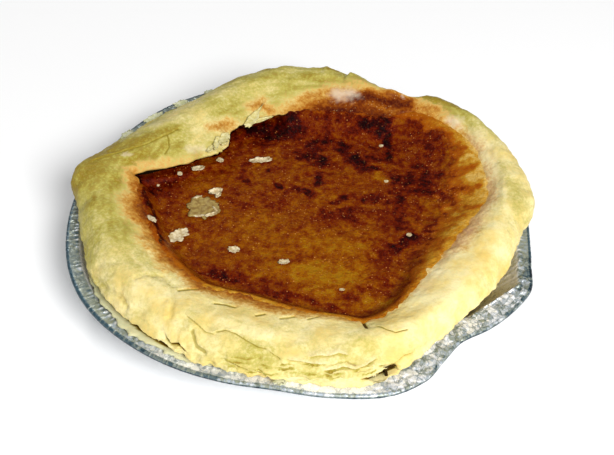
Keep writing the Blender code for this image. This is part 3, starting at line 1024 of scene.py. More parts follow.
@dataclass
class PastryCase:
    """The puff pastry case, folded in over its filling, with its layers, cracks and browning."""

    OPEN_TOP = 28.6      # the pastry's own top lies above this
    WALL_INSIDE = 66.0   # and its outer wall outside this
    WALL_RADIUS = 76.0   # where the arc of the wall's cracks is measured

    dish: FoilDish
    gap: float = 0.4
    lip: Outline = Outline({
        -176: 56.8, -160: 54.6, -142: 54.9, -125: 55.9, -108: 53.3, -92: 55.3, -76: 60.0,
        -69: 63.0, -62: 61.8, -50: 57.0, -36: 53.6, -22: 54.2, -8: 58.5, 3: 64.0, 18: 66.5,
        30: 68.8, 45: 67.1, 53: 63.5, 58: 56.0, 66: 53.0, 82: 49.5, 96: 48.3, 108: 47.1, 120: 45.9,
        131: 43.8, 139: 38.4, 147: 38.0, 155: 41.6, 162: 45.0, 168: 50.6, 172: 57.5, 174.5: 60.3,
        178: 58.0,
    })
    crest: Outline = Outline({
        -176: 70.0, -150: 70.0, -125: 70.5, -105: 69.0, -88: 69.5, -72: 72.5, -50: 69.0, -25: 66.0,
        -4: 70.0, 15: 74.0, 35: 75.5, 50: 73.5, 59: 68.0, 70: 66.0, 85: 66.5, 100: 66.0, 118: 62.0,
        138: 57.5, 155: 60.0, 168: 66.0,
    })
    brow: Outline = Outline({
        -170: 75.0, -160: 74.8, -150: 75.0, -125: 75.6, -100: 74.8, -80: 76.0, -65: 75.0,
        -45: 71.2, -25: 71.4, -10: 73.8, 2: 79.6, 31: 79.2, 46: 78.4, 53: 76.2, 59: 69.6, 70: 70.6,
        78: 72.8, 97: 74.6, 107: 73.2, 116: 71.4, 124: 68.6, 135: 67.4, 146: 68.0, 156: 70.2,
        168: 75.0, 177: 80.0,
    })
    belly: Outline = Outline({
        -172: 78.2, -160: 77.8, -152: 79.3, -145: 79.8, -125: 80.2, -104: 78.8, -90: 78.5,
        -72: 79.4, -66: 79.0, -60: 76.8, -52: 74.0, -42: 73.8, -30: 74.4, -15: 75.3, -8: 76.6,
        1: 80.9, 18: 81.0, 35: 81.5, 48: 81.0, 59: 73.0, 70: 75.5, 85: 79.0, 100: 79.0, 113: 77.4,
        121: 74.8, 135: 71.6, 148: 72.8, 158: 75.4, 168: 79.4, 177: 82.7,
    })
    foot: Outline = FOOT
    lip_height: Outline = Outline({
        -178: 32.0, -150: 31.5, 0: 31.8, 45: 32.0, 60: 31.5, 98: 31.5, 110: 31.8, 160: 31.8,
        172: 32.0,
    })
    crest_height: Outline = Outline({
        -176: 36.0, -150: 36.0, -120: 35.5, -95: 34.8, -70: 35.0, -45: 35.0, -15: 35.5, 20: 36.0,
        45: 36.0, 59: 34.2, 72: 35.5, 100: 36.5, 120: 36.8, 145: 37.0, 165: 36.5,
    })
    overhang: Outline = Outline({
        -176: 1.2, -120: 0.8, 60: 0.8, 96: 0.9, 108: 6.0, 164: 7.0, 174: 4.5,
    })
    sheet_sector: Sector = Sector(-146.0, -106.0, 12.0)
    layer_sector: Sector = Sector(-112.0, -54.0, 16.0)
    line_sector: Sector = Sector(-101.0, -73.0, 9.0)   # where the cut layers show as lines
    hole_sector: Sector = Sector(-71.0, -68.0, 3.0)
    brow_drop: Outline = Outline({
        -176: 2.2, 95: 2.2, 110: 3.0, 124: 4.5, 138: 5.0, 152: 4.6, 164: 3.2,
    })
    belly_height: float = 28.0
    fold_height: float = 25.3
    fold_inset: Outline = Outline({
        -176: 2.0, 100: 2.0, 114: 1.2, 124: -0.4, 135: -1.8, 148: -1.4, 162: 0.6,
    })
    terrace_inset: float = -0.9
    slope: Point = (0.42, 0.62)
    sheet_thickness: float = 1.4
    crevice: float = 0.4
    sheet_crevice: float = 2.6
    hole_depth: float = 3.2
    lip_thickness: float = 1.9
    lip_undercut: float = 0.22
    well_floor: float = 9.0
    lumps: Grain = Grain(19.0)
    lump_height: float = 0.8
    lump_fade: Point = (4.0, 6.0)
    crags: Outline = Outline({   # how far torn edges stand up at the back
        50: 0.0, 56.5: 0.2, 59: 1.2, 62.5: 1.4, 65: 0.5, 67: 0.5, 77.6: 2.3, 78.8: 0.2, 80.6: 0.5,
        85.4: 1.7, 86.6: 0.8, 92: 0.0, 97: 0.0, 99: 0.5, 103: 0.0, 119: 0.0, 121.5: 0.6, 125: 0.0,
        150: 0.0, 153: 0.5, 157: 0.0,
    })
    top: float = 37.1   # nothing stands higher
    swell: float = 0.35           # depth of the broad lumps
    streak: float = 0.07          # of the streaks along the rim
    dimple: Point = (0.24, 0.6)   # of the dimples on the top and on the wall
    crumb: float = 0.16           # of the grain of the crumb
    line: float = 0.2             # of the fine lines in the cut layers
    layers: int = 5
    layer_step: float = 0.55
    spokes: int = 640
    face_steps: tuple[int, ...] = (8, 17, 15, 17, 16)
    cracks: tuple[Crack, ...] = (
        # the crease in the fold at the upper left, and its branch
        Crack(((-74.3, 8.0), (-66.6, 12.9), (-58.6, 17.4), (-54.0, 20.9), (-49.5, 24.7), (-47.3, 27.5)),
              0.9, 0.5, Cut.LEDGE, darkness=0.55),
        Crack(((-50.6, 23.6), (-49.8, 21.4), (-49.3, 18.1), (-50.5, 15.0)), 0.8, 0.4, darkness=0.48),
        # the long crack along the front
        Crack(((-33.5, -64.0), (-30.1, -66.7), (-27.8, -68.7), (-25.4, -69.5)), 0.8, 0.6,
              Cut.LEDGE, darkness=0.42),
        Crack(((-24.1, -69.1), (-21.6, -68.6), (-18.3, -69.7), (-15.1, -71.7), (-11.3, -73.5),
               (-9.0, -73.9)), 0.7, 0.6, Cut.LEDGE, darkness=0.5),
        Crack(((-95.8, 32.5), (-93.5, 31.4)), 0.7, 0.4, Cut.LEDGE, Laid.WALL, 0.45),
        # tears beside the lip at the front
        Crack(((-37.5, -52.8), (-35.5, -51.8), (-32.4, -50.4)), 1.2, 0.5, darkness=0.5),
        Crack(((-25.7, -57.4), (-23.1, -57.3), (-19.5, -58.3)), 1.1, 0.5, darkness=0.55),
        Crack(((-12.7, -61.5), (-10.1, -60.2)), 1.0, 0.4, darkness=0.55),
        Crack(((-5.2, -62.1), (-1.0, -60.5)), 1.0, 0.4, darkness=0.45),
        Crack(((3.3, -61.4), (6.4, -59.1)), 1.0, 0.4, darkness=0.4),
        # the gap under the fold at the front left
        Crack(((-105.0, 28.6), (-103.6, 28.2), (-101.0, 27.3), (-98.0, 26.9), (-95.4, 25.6)), 1.2, 0.7,
              Cut.LEDGE, Laid.WALL, 0.6),
        # the sharp corner of the opening
        Crack(((20.4, -60.0), (21.3, -64.0)), 1.3, 0.9, darkness=0.9),
        Crack(((24.7, -63.6), (27.6, -65.4), (30.1, -66.1), (33.6, -64.4)), 0.8, 0.4, Cut.LEDGE,
              darkness=0.6),
        # soft folds at the lower left
        Crack(((-51.4, -49.4), (-48.4, -47.6), (-43.1, -46.9), (-39.8, -51.4), (-38.4, -58.1),
               (-38.9, -63.8)), 2.0, 0.5, darkness=0.16),
        Crack(((-67.3, -42.8), (-60.4, -50.0), (-55.9, -53.7), (-53.6, -57.1)), 1.4, 0.7,
              darkness=0.2),
        Crack(((-114.8, 32.9), (-112.8, 30.1), (-110.6, 29.3)), 1.4, 0.6, Cut.GROOVE, Laid.WALL, 0.4),
        # the dark slot in the fold
        Crack(((-120.0, 29.5), (-118.5, 28.6), (-116.9, 29.5), (-115.4, 28.5)), 1.3, 1.3,
              Cut.LEDGE, Laid.WALL, 1.0),
        # the dark gap between two layers
        Crack(((-71.2, 24.4), (-69.7, 25.2), (-67.6, 25.6)), 3.0, 2.4, Cut.GROOVE, Laid.WALL, 1.0),
        Crack(((-75.0, 24.6), (-71.2, 24.2)), 1.0, 0.8, Cut.GROOVE, Laid.WALL, 0.8),
        # the layers at the front
        Crack(((-86.4, 32.4), (-84.5, 32.7), (-82.4, 32.6), (-80.0, 33.1), (-78.7, 32.7)), 1.1, 0.7,
              Cut.LEDGE, Laid.WALL, 0.36, 0.3),
        Crack(((-91.1, 31.3), (-89.0, 31.3), (-86.7, 30.8), (-83.5, 30.6)), 1.1, 0.7,
              Cut.LEDGE, Laid.WALL, 0.4, 0.3),
        Crack(((-82.8, 28.9), (-79.2, 29.6), (-76.6, 28.7), (-73.7, 29.4), (-72.1, 30.3)), 1.3, 0.9,
              Cut.LEDGE, Laid.WALL, 0.5, 0.3),
        Crack(((-70.7, 28.6), (-67.6, 28.2), (-65.0, 29.5), (-61.8, 28.8)), 1.1, 0.8,
              Cut.LEDGE, Laid.WALL, 0.5),
    )
    toast_width: Outline = Outline({
        -178: 9.0, -166: 13.0, -154: 10.5, -140: 10.0, -125: 9.0, -104: 10.0, -75: 5.0, -60: 5.0,
        -40: 6.0, -20: 12.0, 0: 7.0, 30: 5.0, 48: 6.0, 58: 15.0, 66: 20.0, 80: 19.0, 98: 10.0,
        112: 7.0, 130: 4.0, 150: 4.0, 166: 4.0, 174: 6.0,
    })
    toast_core: float = 1.6   # how far the darkest browning reaches from the lip
    toast_near: float = 0.2   # its share of the level
    toast_ragged: Point = (2.2, 0.9)   # how far the edge of the browning strays, coarse and fine
    stain_wander: float = 1.5
    highlight_wander: float = 1.6
    # how fully the painted shade bands show
    shade_band_share: float = 0.8
    step_shade: float = 0.6    # how much painted olive shade the layers get where they step in
    line_olive: float = 0.26   # and all over
    # how dark the painted shade in the cracks is
    crack_shade: float = 0.85
    lip_shade: float = 0.95    # how dark the painted shadow under the lip is
    gap_shade: float = 0.75    # and in the gap under the fold
    sheet_grey: float = 0.7
    toast_level: Outline = Outline({
        -178: 0.68, -166: 0.86, -154: 0.74, -140: 0.74, -120: 0.66, -102: 0.72, -82: 0.4,
        -60: 0.24, -40: 0.24, -20: 0.6, 0: 0.36, 30: 0.34, 46: 0.54, 56: 0.86, 66: 1.05, 80: 1.0,
        90: 0.72, 100: 0.4, 112: 0.2, 130: 0.12, 150: 0.14, 166: 0.24, 174: 0.4,
    })
    # the olive tint round the pudding: partly its own, partly painted shade on the sides turned from the
    # light
    olive_level: Outline = Outline({
        -176: 0.9, -168: 0.8, -158: 0.76, -148: 0.5, -136: 0.3, -125: 0.2, -108: 0.36, -98: 0.22,
        -84: 0.2, -66: 0.14, -50: 0.0, -20: 0.06, 0: 0.36, 22: 0.24, 36: 0.6, 50: 1.0, 62: 0.9,
        78: 0.8, 94: 0.7, 104: 0.66, 120: 0.62, 145: 0.44, 160: 0.78, 172: 0.92, 178: 0.92,
    })
    stains: tuple[ColourBand, ...] = (
        ColourBand(((-21.5, 46.6), (-18.0, 48.4), (-14.5, 47.4)), 4.4, 0.54, 3.2),
        ColourBand(((-34.4, 31.2), (-31.6, 33.4), (-28.6, 36.4)), 4.0, 0.5, 3.2),
        ColourBand(((-3.7, 52.3), (4.5, 58.0)), 4.0, 0.5, 2.6),
        ColourBand(((38.0, 55.0), (48.0, 50.0)), 5.0, 0.52, 2.0),
        ColourBand(((16.0, 55.0), (26.9, 55.8), (36.5, 54.0)), 8.0, 0.95, 2.0),
        ColourBand(((-58.6, 8.5), (-48.5, 12.7)), 3.0, 0.26, 2.0),
    )
    # painted shade where the surface turns from the light: at the back right, at the right edge and along
    # the crease in the fold
    shade_bands: tuple[ColourBand, ...] = (
        ColourBand(((42.0, 60.0), (50.0, 55.0)), 8.0, 1.0, 1.4),
        ColourBand(((73.4, -4.0), (74.0, 7.0)), 5.0, 0.6, 2.0),
        ColourBand(((-74.0, 10.0), (-60.0, 19.0), (-48.0, 27.5)), 4.0, 1.0, 1.4),
    )
    # painted highlights on the top of the rim near the lip
    highlight_bands: tuple[ColourBand, ...] = (
        ColourBand(((10.6, 57.2), (15.8, 57.2)), 4.4, 0.66, 2.4),
        ColourBand(((53.2, 45.3), (56.0, 43.0)), 3.0, 0.6, 2.0),
        ColourBand(((-63.5, 12.2),), 2.4, 0.4, 0.8),
        ColourBand(((-43.0, 18.4), (-37.4, 20.6)), 2.2, 0.4, 2.6),
        ColourBand(((36.7, 60.0), (35.4, 56.5)), 1.2, 0.4, 1.6),
        ColourBand(((38.6, -46.0), (46.1, -33.5), (53.3, -21.5), (60.9, -8.6), (66.9, 3.5), (66.1, 21.5),
               (61.9, 35.8)), 5.0, 0.24, 1.8),
    )

    def section(self, angle: float) -> list[tuple[float, float, float]]:
        """The case's section at an angle.

        Args:
            angle: where it is cut.

        Returns:
            Rows of radius, height and raggedness, from the middle of the underside, over the top
            to the middle of the well's floor.
        """
        lip, lip_z = self.lip.at(angle), self.lip_height.at(angle)
        crest, crest_z = self.crest.at(angle), self.crest_height.at(angle)
        belly, back, foot = self.belly.at(angle), self.overhang.at(angle), self.foot.at(angle)
        inset = mix(self.fold_inset.at(angle), self.terrace_inset, self.layer_sector.at(angle))
        fold = belly - inset
        dish, gap = self.dish, self.gap
        wall = dish.wall_radius(angle) - gap - dish.foil
        bottom, rest = dish.foil + gap, dish.height + gap
        sheet_top = dish.height + self.sheet_thickness
        base = [(0.0, bottom, 0.0), (dish.base_radius - dish.foot_bend - gap, bottom, 0.0),
                (dish.base_radius - 1.6, bottom + dish.foot_rise, 0.0),
                (min(wall, foot) - 2.6, dish.height - 3.0, 0.0), (min(wall, foot - 1.0), rest, 0.3),
                (foot - 0.5, rest, 0.7), (foot, rest + 0.5, 1.0)]
        crevice = (self.crevice + self.sheet_crevice * self.sheet_sector.at(angle)
                   + self.hole_depth * self.hole_sector.at(angle))
        tucked = (min(foot, fold) - crevice, mix(sheet_top, self.fold_height, 0.4), 0.3)
        sheet = straight_through([(foot - 0.4, sheet_top, 0.8), tucked,
                                  (fold - 0.3, self.fold_height - 0.1, 0.8)], (7, 4))
        face = curve_through([
            (fold, self.fold_height, 1.0), (belly, self.belly_height, 0.25),
            (self.brow.at(angle), crest_z - self.brow_drop.at(angle), 0.0), (crest, crest_z, 0.0),
            (mix(lip, crest, self.slope[0]), mix(lip_z, crest_z, self.slope[1]), 0.0),
            (lip, lip_z, 0.6),
        ], self.face_steps)
        under, side = lip_z - self.lip_thickness, lip + back
        well = straight_through([
            (lip + 0.1, lip_z - 0.7, 0.6), (lip + 0.25 * back, under + 0.5, 0.4),
            (side, under - self.lip_undercut * back, 0.0), (side - 1.0, 23.4, 0.0),
            (side - 5.0, self.well_floor, 0.0), (0.0, self.well_floor, 0.0),
        ], (1, 4, 4, 1, 1))
        return base + sheet + face + well + [(0.0, self.well_floor, 0.0)]

    def layered(self, angle: float, radius: float, height: float) -> float:
        """Works out how the cut layers at the front step in.

        Args:
            angle: of a place on the wall.
            radius: of the place.
            height: of the place.

        Returns:
            How far it steps in, in millimetres.
        """
        share = self.line_sector.at(angle) * smooth((32.5 - height) / 3.0)
        if share <= 0.0:
            return 0.0
        share *= float(smooth(0.55 + 1.5 * noise.noise(polar(angle, 16.0, height / 1.4))))
        drift = 0.7 * noise.fractal(polar(angle, 17.0, height / 6.0), 1.0, 2.0, 3)
        part = ((height - self.fold_height) / 8.0 * self.layers + drift) % 1.0
        return self.layer_step * share * (1.0 - smooth(part / 0.55))

    def place(self, angle: float, spot: tuple[float, float, float]) -> Vector:
        """Lays a point of the section, with its lumps, layers and ragged edges.

        Args:
            angle: where the section is cut.
            spot: its row of the section.

        Returns:
            Where it lies.
        """
        radius, height, ragged = spot
        share = (smooth((height - self.fold_height) / self.lump_fade[0])
                 * smooth((radius - self.lip.at(angle)) / self.lump_fade[1]))
        lump = self.lumps.at(polar(angle, radius, height)) * self.lump_height * share
        lump += (self.crags.at(angle) * smooth((radius - self.crest.at(angle) + 3.0) / 3.0)
                 * smooth((height - 31.0) / 3.0))
        if ragged:
            tear = noise.fractal(polar(angle, 30.0, height / 3.0), 1.0, 2.0, 4)
            radius += ragged * (1.0 + 0.8 * self.sheet_sector.at(angle)) * (0.9 * tear - 0.2)
            lump += 0.5 * ragged * noise.noise(polar(angle, 20.0, 40.0 + height / 4.0))
        if self.fold_height < height and radius > self.WALL_INSIDE:
            radius -= self.layered(angle, radius, height)
        return polar(angle, radius, height + lump)

    def refine(self, mesh: bmesh.types.BMesh) -> None:
        """Cuts the faces beside each crack finer.

        Args:
            mesh: the case, which is changed.
        """
        places = places_of(mesh)
        near = np.min([c.lie(places)[0] / (1.4 * c.width) for c in self.cracks], axis=0) < 1.0
        chosen = [e for e in mesh.edges if near[e.verts[0].index] and near[e.verts[1].index]]
        bmesh.ops.subdivide_edges(mesh, edges=chosen, cuts=2, use_grid_fill=True)
        mesh.verts.index_update()
        mesh.normal_update()

    def roughen(self, mesh: bmesh.types.BMesh) -> tuple[np.ndarray, np.ndarray]:
        """Gives the surface its relief.

        Args:
            mesh: the case, which is changed.

        Returns:
            How much painted shade each vertex gets in a crack, and how much painted highlight on a ledge's
            edge, from 0 to 1.
        """
        places = places_of(mesh)
        angles, radius = round_of(places)
        shown = smooth((places[:, 2] - 24.0) / 2.0) * smooth((radius - self.lip.at(angles)) / 1.5 + 0.4)
        steep = 1.0 - np.array([abs(v.normal.z) for v in mesh.verts])
        wall = smooth((radius - self.crest.at(angles)) / 4.0)
        cut = mix(0.3, 1.0, self.line_sector.at(angles))
        moves = self.swell * Grain(6.5, 3, shift=3.0).over(places) + self.streak * self.streaks(places)
        moves -= mix(*self.dimple, wall) * np.abs(Grain(5.0, 2, shift=9.0).over(places))
        moves -= self.crumb * np.abs(Grain(2.6, 3, shift=8.0).over(places))
        moves += self.line * cut * steep * Grain(1.0, 3, (9.0, 9.0, 1.0)).over(places)
        moves *= shown
        # painted shade in the cracks, and painted highlights on the ledges' edges
        dark, light = np.zeros(len(places)), np.zeros(len(places))
        for crack in self.cracks:
            distance, hand = crack.lie(places)
            moves += crack.press(distance, hand)
            dark = np.maximum(dark, crack.dark(distance, hand))
            light = np.maximum(light, crack.light(distance, hand))
        push(mesh, moves)
        for vertex in mesh.verts:
            vertex.co.z = min(vertex.co.z, self.top)
        return dark, light

    def streaks(self, places: np.ndarray) -> np.ndarray:
        """Works out long soft streaks that follow the rim.

        Args:
            places: rows of x, y and z.

        Returns:
            The streaks, from -1 to 1.
        """
        angles, radius = round_of(places)
        turns = np.radians(angles)
        rows = (16.0 * np.cos(turns), 16.0 * np.sin(turns), radius + places[:, 2])
        return Grain(2.6, 3, shift=17.0).over(np.stack(rows, 1))

    def painted_shadow(self, places: np.ndarray) -> np.ndarray:
        """Works out the painted shadow under the lip, and in the gap under the fold.

        Args:
            places: rows of x, y and z.

        Returns:
            How much painted shadow each place gets, from 0 to 1.
        """
        height, (angles, radius) = places[:, 2], round_of(places)
        lip, fold = self.lip.at(angles), np.minimum(self.belly.at(angles) - 1.2, self.foot.at(angles))
        under = (smooth((self.lip_height.at(angles) - 0.8 - height) / 0.8)
                 * (radius < lip + self.overhang.at(angles) + 1.0))
        gap = (smooth((height - 23.2) / 0.5) * smooth((25.4 - height) / 0.5)
               * smooth((fold - 0.3 - radius) / 0.8) * (radius > self.WALL_INSIDE))
        return np.maximum(self.lip_shade * under, self.gap_shade * gap)

    def toast(self, places: np.ndarray) -> np.ndarray:
        """Works out the browning beside the lip and in the stains.

        Args:
            places: rows of x, y and z.

        Returns:
            How browned each place is, from 0 to 1.
        """
        angles, radius = round_of(places)
        coarse, fine = self.toast_ragged
        ragged = coarse * Grain(7.0, 3, shift=5.0).over(places) + fine * Grain(1.6, 3).over(places)
        away = np.maximum(radius - self.lip.at(angles) + ragged, 0.0)
        near, wide = np.exp(-away / self.toast_core), 1.0 - smooth(away / self.toast_width.at(angles))
        level = self.toast_level.at(angles) * mix(wide, near, self.toast_near)
        warped = places[:, :2] + self.stain_wander * stray(places, 5.0, 3, 11.0)
        for stain in self.stains:
            level = np.maximum(level, stain.level * stain.cover(warped))
        return level * (places[:, 2] > self.OPEN_TOP)

    def olive(self, places: np.ndarray) -> np.ndarray:
        """Works out the olive tint, partly the pastry's own and partly painted shade, which is strongest
        where a layer steps in.

        Args:
            places: rows of x, y and z.

        Returns:
            How olive each place is, from 0 to 1.
        """
        angles, radius = round_of(places)
        level = self.olive_level.at(angles) + 0.2 * Grain(12.0, 3, shift=2.0).over(places)
        level += 0.1 * Grain(4.0, 3, shift=6.0).over(places) + 0.2 * self.streaks(places)
        # painted shade bands where the surface turns from the light
        for stain in self.shade_bands:
            level = mix(level, stain.level, self.shade_band_share * stain.cover(places[:, :2]))
        # painted olive shade where each cut layer steps in
        cut = (radius > self.WALL_INSIDE) & (places[:, 2] > self.fold_height + 0.6)
        cut &= self.line_sector.at(angles) > 0.0
        steps = [self.layered(*row) for row in zip(angles[cut], radius[cut], places[cut, 2])]
        level[cut] += self.step_shade * (np.array(steps) / self.layer_step) ** 1.4
        level += self.line_olive * self.line_sector.at(angles) * smooth((radius - 71.0) / 3.0) * cut
        return level

    def build(self) -> list[bpy.types.Object]:
        """Makes the case, which stands for its solid.

        Returns:
            The case alone.
        """
        mesh = wrapped(self.spokes, self.section, self.place)
        self.refine(mesh)
        places = places_of(mesh)
        dark, light = self.roughen(mesh)
        piece = new_piece("baked_case", mesh, PastryFinish().material(), Slot.PASTRY, "pastry_case")
        # pale is painted highlight: these bands and the edges of the ledges
        flat = places[:, :2] + self.highlight_wander * stray(places, 2.2, 3, 51.0)
        pale = np.max([s.level * s.cover(flat) for s in self.highlight_bands], axis=0)
        sheet = self.sheet_sector.at(round_of(places)[0]) * smooth((24.8 - places[:, 2]) / 0.6)
        top = places[:, 2] > self.OPEN_TOP
        # crevice is the painted shade in cracks, under the lip and in the gap under the fold
        paint(piece, toast=self.toast(places), olive=self.olive(places),
              crevice=np.maximum(self.crack_shade * dark, self.painted_shadow(places)),
              pale=np.maximum(np.where(top, pale, 0.0), light), grey=self.sheet_grey * sheet * ~top)
        return [piece]


@dataclass
class Filling:
    """The baked filling, level in the middle and climbing to the lip, with its browned mottling."""

    case: PastryCase
    level: float = 26.4
    edge_height: Outline = Outline({
        -176: 30.2, -150: 30.2, -110: 30.3, -60: 30.6, 0: 31.0, 45: 31.2, 60: 30.6, 96: 30.4,
        108: 27.6, 165: 27.4, 174: 28.6,
    })
    climb: Outline = Outline({
        -176: 7.0, -120: 8.0, -60: 9.0, -20: 15.0, 30: 24.0, 60: 16.0, 96: 11.0, 110: 5.0,
        165: 5.0,
    })
    climb_power: float = 1.4
    lip_rise: float = 0.22   # the skin meets the pastry this far above the lip
    skin_edge: float = 1.0   # and ends this far beyond it
    ripple: Grain = Grain(14.0)
    ripple_height: float = 0.45
    ripple_fade: float = 4.0
    spokes: int = 560
    rings: int = 150
    bake: float = 0.42   # the level between the patches
    patches: tuple[tuple[float, ...], ...] = (   # level, width, and the x and y of each point
        # the darker back and right, under the patches
        (0.58, 26, -10, 40, 30, 38), (0.56, 18, 40, 34, 42, 12), (0.5, 16, -48, 6, -40, 12),
        # the left
        (0.78, 9, -57, 8, -50, 4), (0.65, 7, -50, 12, -42, 15), (0.52, 8, -38, 17, -30, 18),
        (0.48, 8, -50, -2, -46, -8), (0.44, 9, -44, -14, -38, -12), (0.36, 7, -38, 8, -27, 8),
        (0.3, 4, -34, 7, -28, 6), (0.52, 9, -26, 6, -22, 0), (0.45, 6, -38, -12, -32, -15),
        (0.39, 8, -42, -26, -32, -24), (0.39, 5, -28, -30, -20, -29),
        # a painted shadow line along the lip, where the filling meets the pastry
        (0.96, 1.8, -55, 3, -55.1, -2.9, -52.7, -11.2, -49.1, -19.9, -45.6, -27.4),
        # the back, which is nearly black in places
        (0.6, 8, -28, 26, -24, 30), (0.81, 7, -27, 36, -24, 40), (0.99, 6, -21, 40, -17, 43),
        (0.91, 9, -14, 40, -6, 43), (0.67, 7, -19, 33, -12, 33), (0.62, 8, -4, 30, 2, 34),
        (0.42, 6, -20, 27, -12, 28), (0.94, 6, 0, 27, 5, 25), (0.88, 6, 2, 34, 8, 38),
        (0.65, 8, 4, 44, 10, 46), (0.65, 6, 14, 46, 17, 42), (1, 7, 22, 44, 28, 45),
        (0.92, 4, 13, 35, 14, 31), (1, 5, 17, 28, 21, 23), (0.91, 5, 22, 22, 25, 22),
        (0.6, 6, 18, 37, 26, 36), (0.73, 5, 23, 29, 27, 31), (1, 5, 31, 40, 31, 29),
        (0.54, 6, 36, 43, 36, 32), (0.64, 9, 43, 46, 45, 30),
        # the middle
        (0.78, 3, -22, 21, -22, 12), (0.4, 9, -17, 17, -8, 15), (0.76, 2.4, -14, 18),
        (0.93, 3, -11, 9.6, -9, 9.4), (0.52, 9, -16, 5, -8, 1), (0.73, 3, -6, 7, -1, 9),
        (0.32, 10, -26, -10, -6, -10), (0.34, 9, -22, -19, -4, -20), (0.28, 5, -20, -12, -14, -13),
        (0.52, 6, 1, 22, 2, 16), (1, 3.4, 7, 18, 5, 13), (0.9, 3.4, 0, 8, 3, 7),
        (0.42, 10, 11, 15, 21, 15), (0.2, 4, 28, 19, 28, 14), (0.53, 7, 24, 13, 27, 9),
        (0.38, 7, 6, 6, 10, 1), (0.86, 4, 12, 3, 17, 7), (0.79, 3.4, 23, 5, 27, 6),
        (0.77, 4.5, 6, -4, 14, -3), (0.6, 4, 15, -3, 19, -1), (0.61, 6, 6, -8, 18, -7),
        (0.53, 6, 22, 0, 25, -4), (0.31, 6, 4, -12, 20, -12), (0.24, 11, 4, -20, 18, -22),
        (0.18, 5, 8, -20, 14, -20),
        # the right
        (0.75, 6, 33, 18, 33, 6), (0.87, 8, 38, 16, 43, 12), (0.75, 6, 42, 24, 48, 20),
        (0.6, 6, 42, 34, 46, 27), (0.44, 5, 50, 24, 57, 20), (0.59, 5, 29, 2, 29, -9),
        (0.79, 5, 34, 6, 34, -8), (0.63, 4, 39, 2, 40, -3), (0.31, 6, 43, 6, 46, -1),
        (0.7, 2.6, 49, -5, 51, -8), (0.67, 3.4, 25, -15, 28, -17), (0.93, 4.5, 30, -20, 38, -14),
        (0.64, 5, 40, -16, 44, -10), (0.62, 4.5, 28, -21, 27, -28), (0.54, 5, 27, -30, 28, -36),
        (0.48, 4, 33, -28, 33, -34), (0.54, 3, 36, -26, 40, -20),
        # the front
        (0.26, 6, -12, -26, -4, -25), (0.18, 8, -10, -34, 2, -34), (0, 10, 4, -33, 14, -34),
        (0.51, 5, -36, -33, -28, -35), (0.85, 5, -28, -37, -22, -39), (0.57, 4, -20, -38, -8, -40),
        (0.66, 3, -14, -43, 4, -46.5), (0.21, 4, 20, -28, 21, -36), (0.55, 3.4, 26, -42, 30, -38),
        (0.13, 4, 2, -42, 10, -42), (0.57, 3, 14, -43, 20, -46), (0.3, 3, 9, -46.5, 14, -48),
        (0.59, 2.4, 2, -46, 8, -48.5, 16, -50.5), (0.1, 6, 22, -46, 27, -47),
        (0.66, 2.4, 12, -53, 22, -54),
    )
    strength: float = 0.9   # how fully the patches show
    softness: float = 1.2   # how soft their edges are
    wander: float = 2.4   # how far the patches' edges stray
    shade_depth: float = 4.4   # how far under the lip the painted shadow reaches
    skin: Point = (0.1, 0.06)   # depth of its coarse and fine grain
    tatter: float = 0.3         # how ragged its edge on the lip is
    mottle: Point = (0.08, 0.12)   # how much coarse and fine mottling changes the browning
    seam: Point = (0.78, 1.8)      # the rim's level from which a pale seam shows, and its width
    seam_gain: float = 2.0
    rim_width: Outline = Outline({
        -178: 2.5, -150: 3.0, -120: 4.0, -80: 3.5, -60: 4.0, -45: 6.0, -25: 12.0, -10: 17.0,
        0: 20.0, 12: 18.0, 24: 12.0, 36: 9.0, 48: 7.0, 58: 5.0, 95: 3.0, 110: 1.0,
    })
    rim_level: Outline = Outline({
        -178: 0.1, -164: 0.12, -150: 0.36, -136: 0.5, -118: 0.74, -80: 0.66, -60: 0.6, -40: 0.7,
        -20: 0.76, 0: 0.8, 12: 0.84, 24: 0.84, 36: 0.76, 48: 0.6, 58: 0.3, 95: 0.1, 108: 0.0,
        170: 0.0,
    })

    def tucked(self, angle: Any) -> Any:
        """The share of the way round where the filling runs on under the lip, 0 or 1 or between."""
        return smooth((self.case.overhang.at(angle) - 1.5) / 3.0)

    def height(self, angle: Any, radius: Any, ripple: Any) -> Any:
        """Works out the height of the top, for numbers or arrays.

        Args:
            angle: of a place.
            radius: of the place.
            ripple: the rise of the ripples there, from -1 to 1.

        Returns:
            The height.
        """
        lip, tucked = self.case.lip.at(angle), self.tucked(angle)
        climb = smooth(1.0 - (lip - radius) / self.climb.at(angle)) ** self.climb_power
        edge = mix(self.case.lip_height.at(angle) + self.lip_rise, self.edge_height.at(angle), tucked)
        level = mix(self.level, edge, climb)
        return level + self.ripple_height * ripple * smooth((lip - radius) / self.ripple_fade)

    def top(self, x: float, y: float) -> float:
        """The top's height at a place."""
        angle, radius = math.degrees(math.atan2(y, x)), math.hypot(x, y)
        return float(self.height(angle, radius, self.ripple.at(Vector((x, y, 0.0)))))

    def section(self, angle: float) -> list[Point]:
        """The filling's section at an angle.

        Args:
            angle: where it is cut.

        Returns:
            Rows of radius and height, from the middle of the top to the middle of the underside.
        """
        lip, back, gap = self.case.lip.at(angle), self.case.overhang.at(angle), self.case.gap
        edge, side = lip + mix(self.skin_edge, back - 0.2, self.tucked(angle)), lip + back - gap
        floor = self.case.well_floor + gap
        radii = edge * np.arange(self.rings + 1) / self.rings
        ripples = np.array([self.ripple.at(polar(angle, r, 0.0)) for r in radii.tolist()])
        top = zip(radii.tolist(), self.height(angle, radii, ripples).tolist())
        return [*top, (edge - 0.3, self.edge_height.at(angle) - 1.0), (side - 1.2, 23.2),
                (side - 5.1, floor), (0.0, floor)]

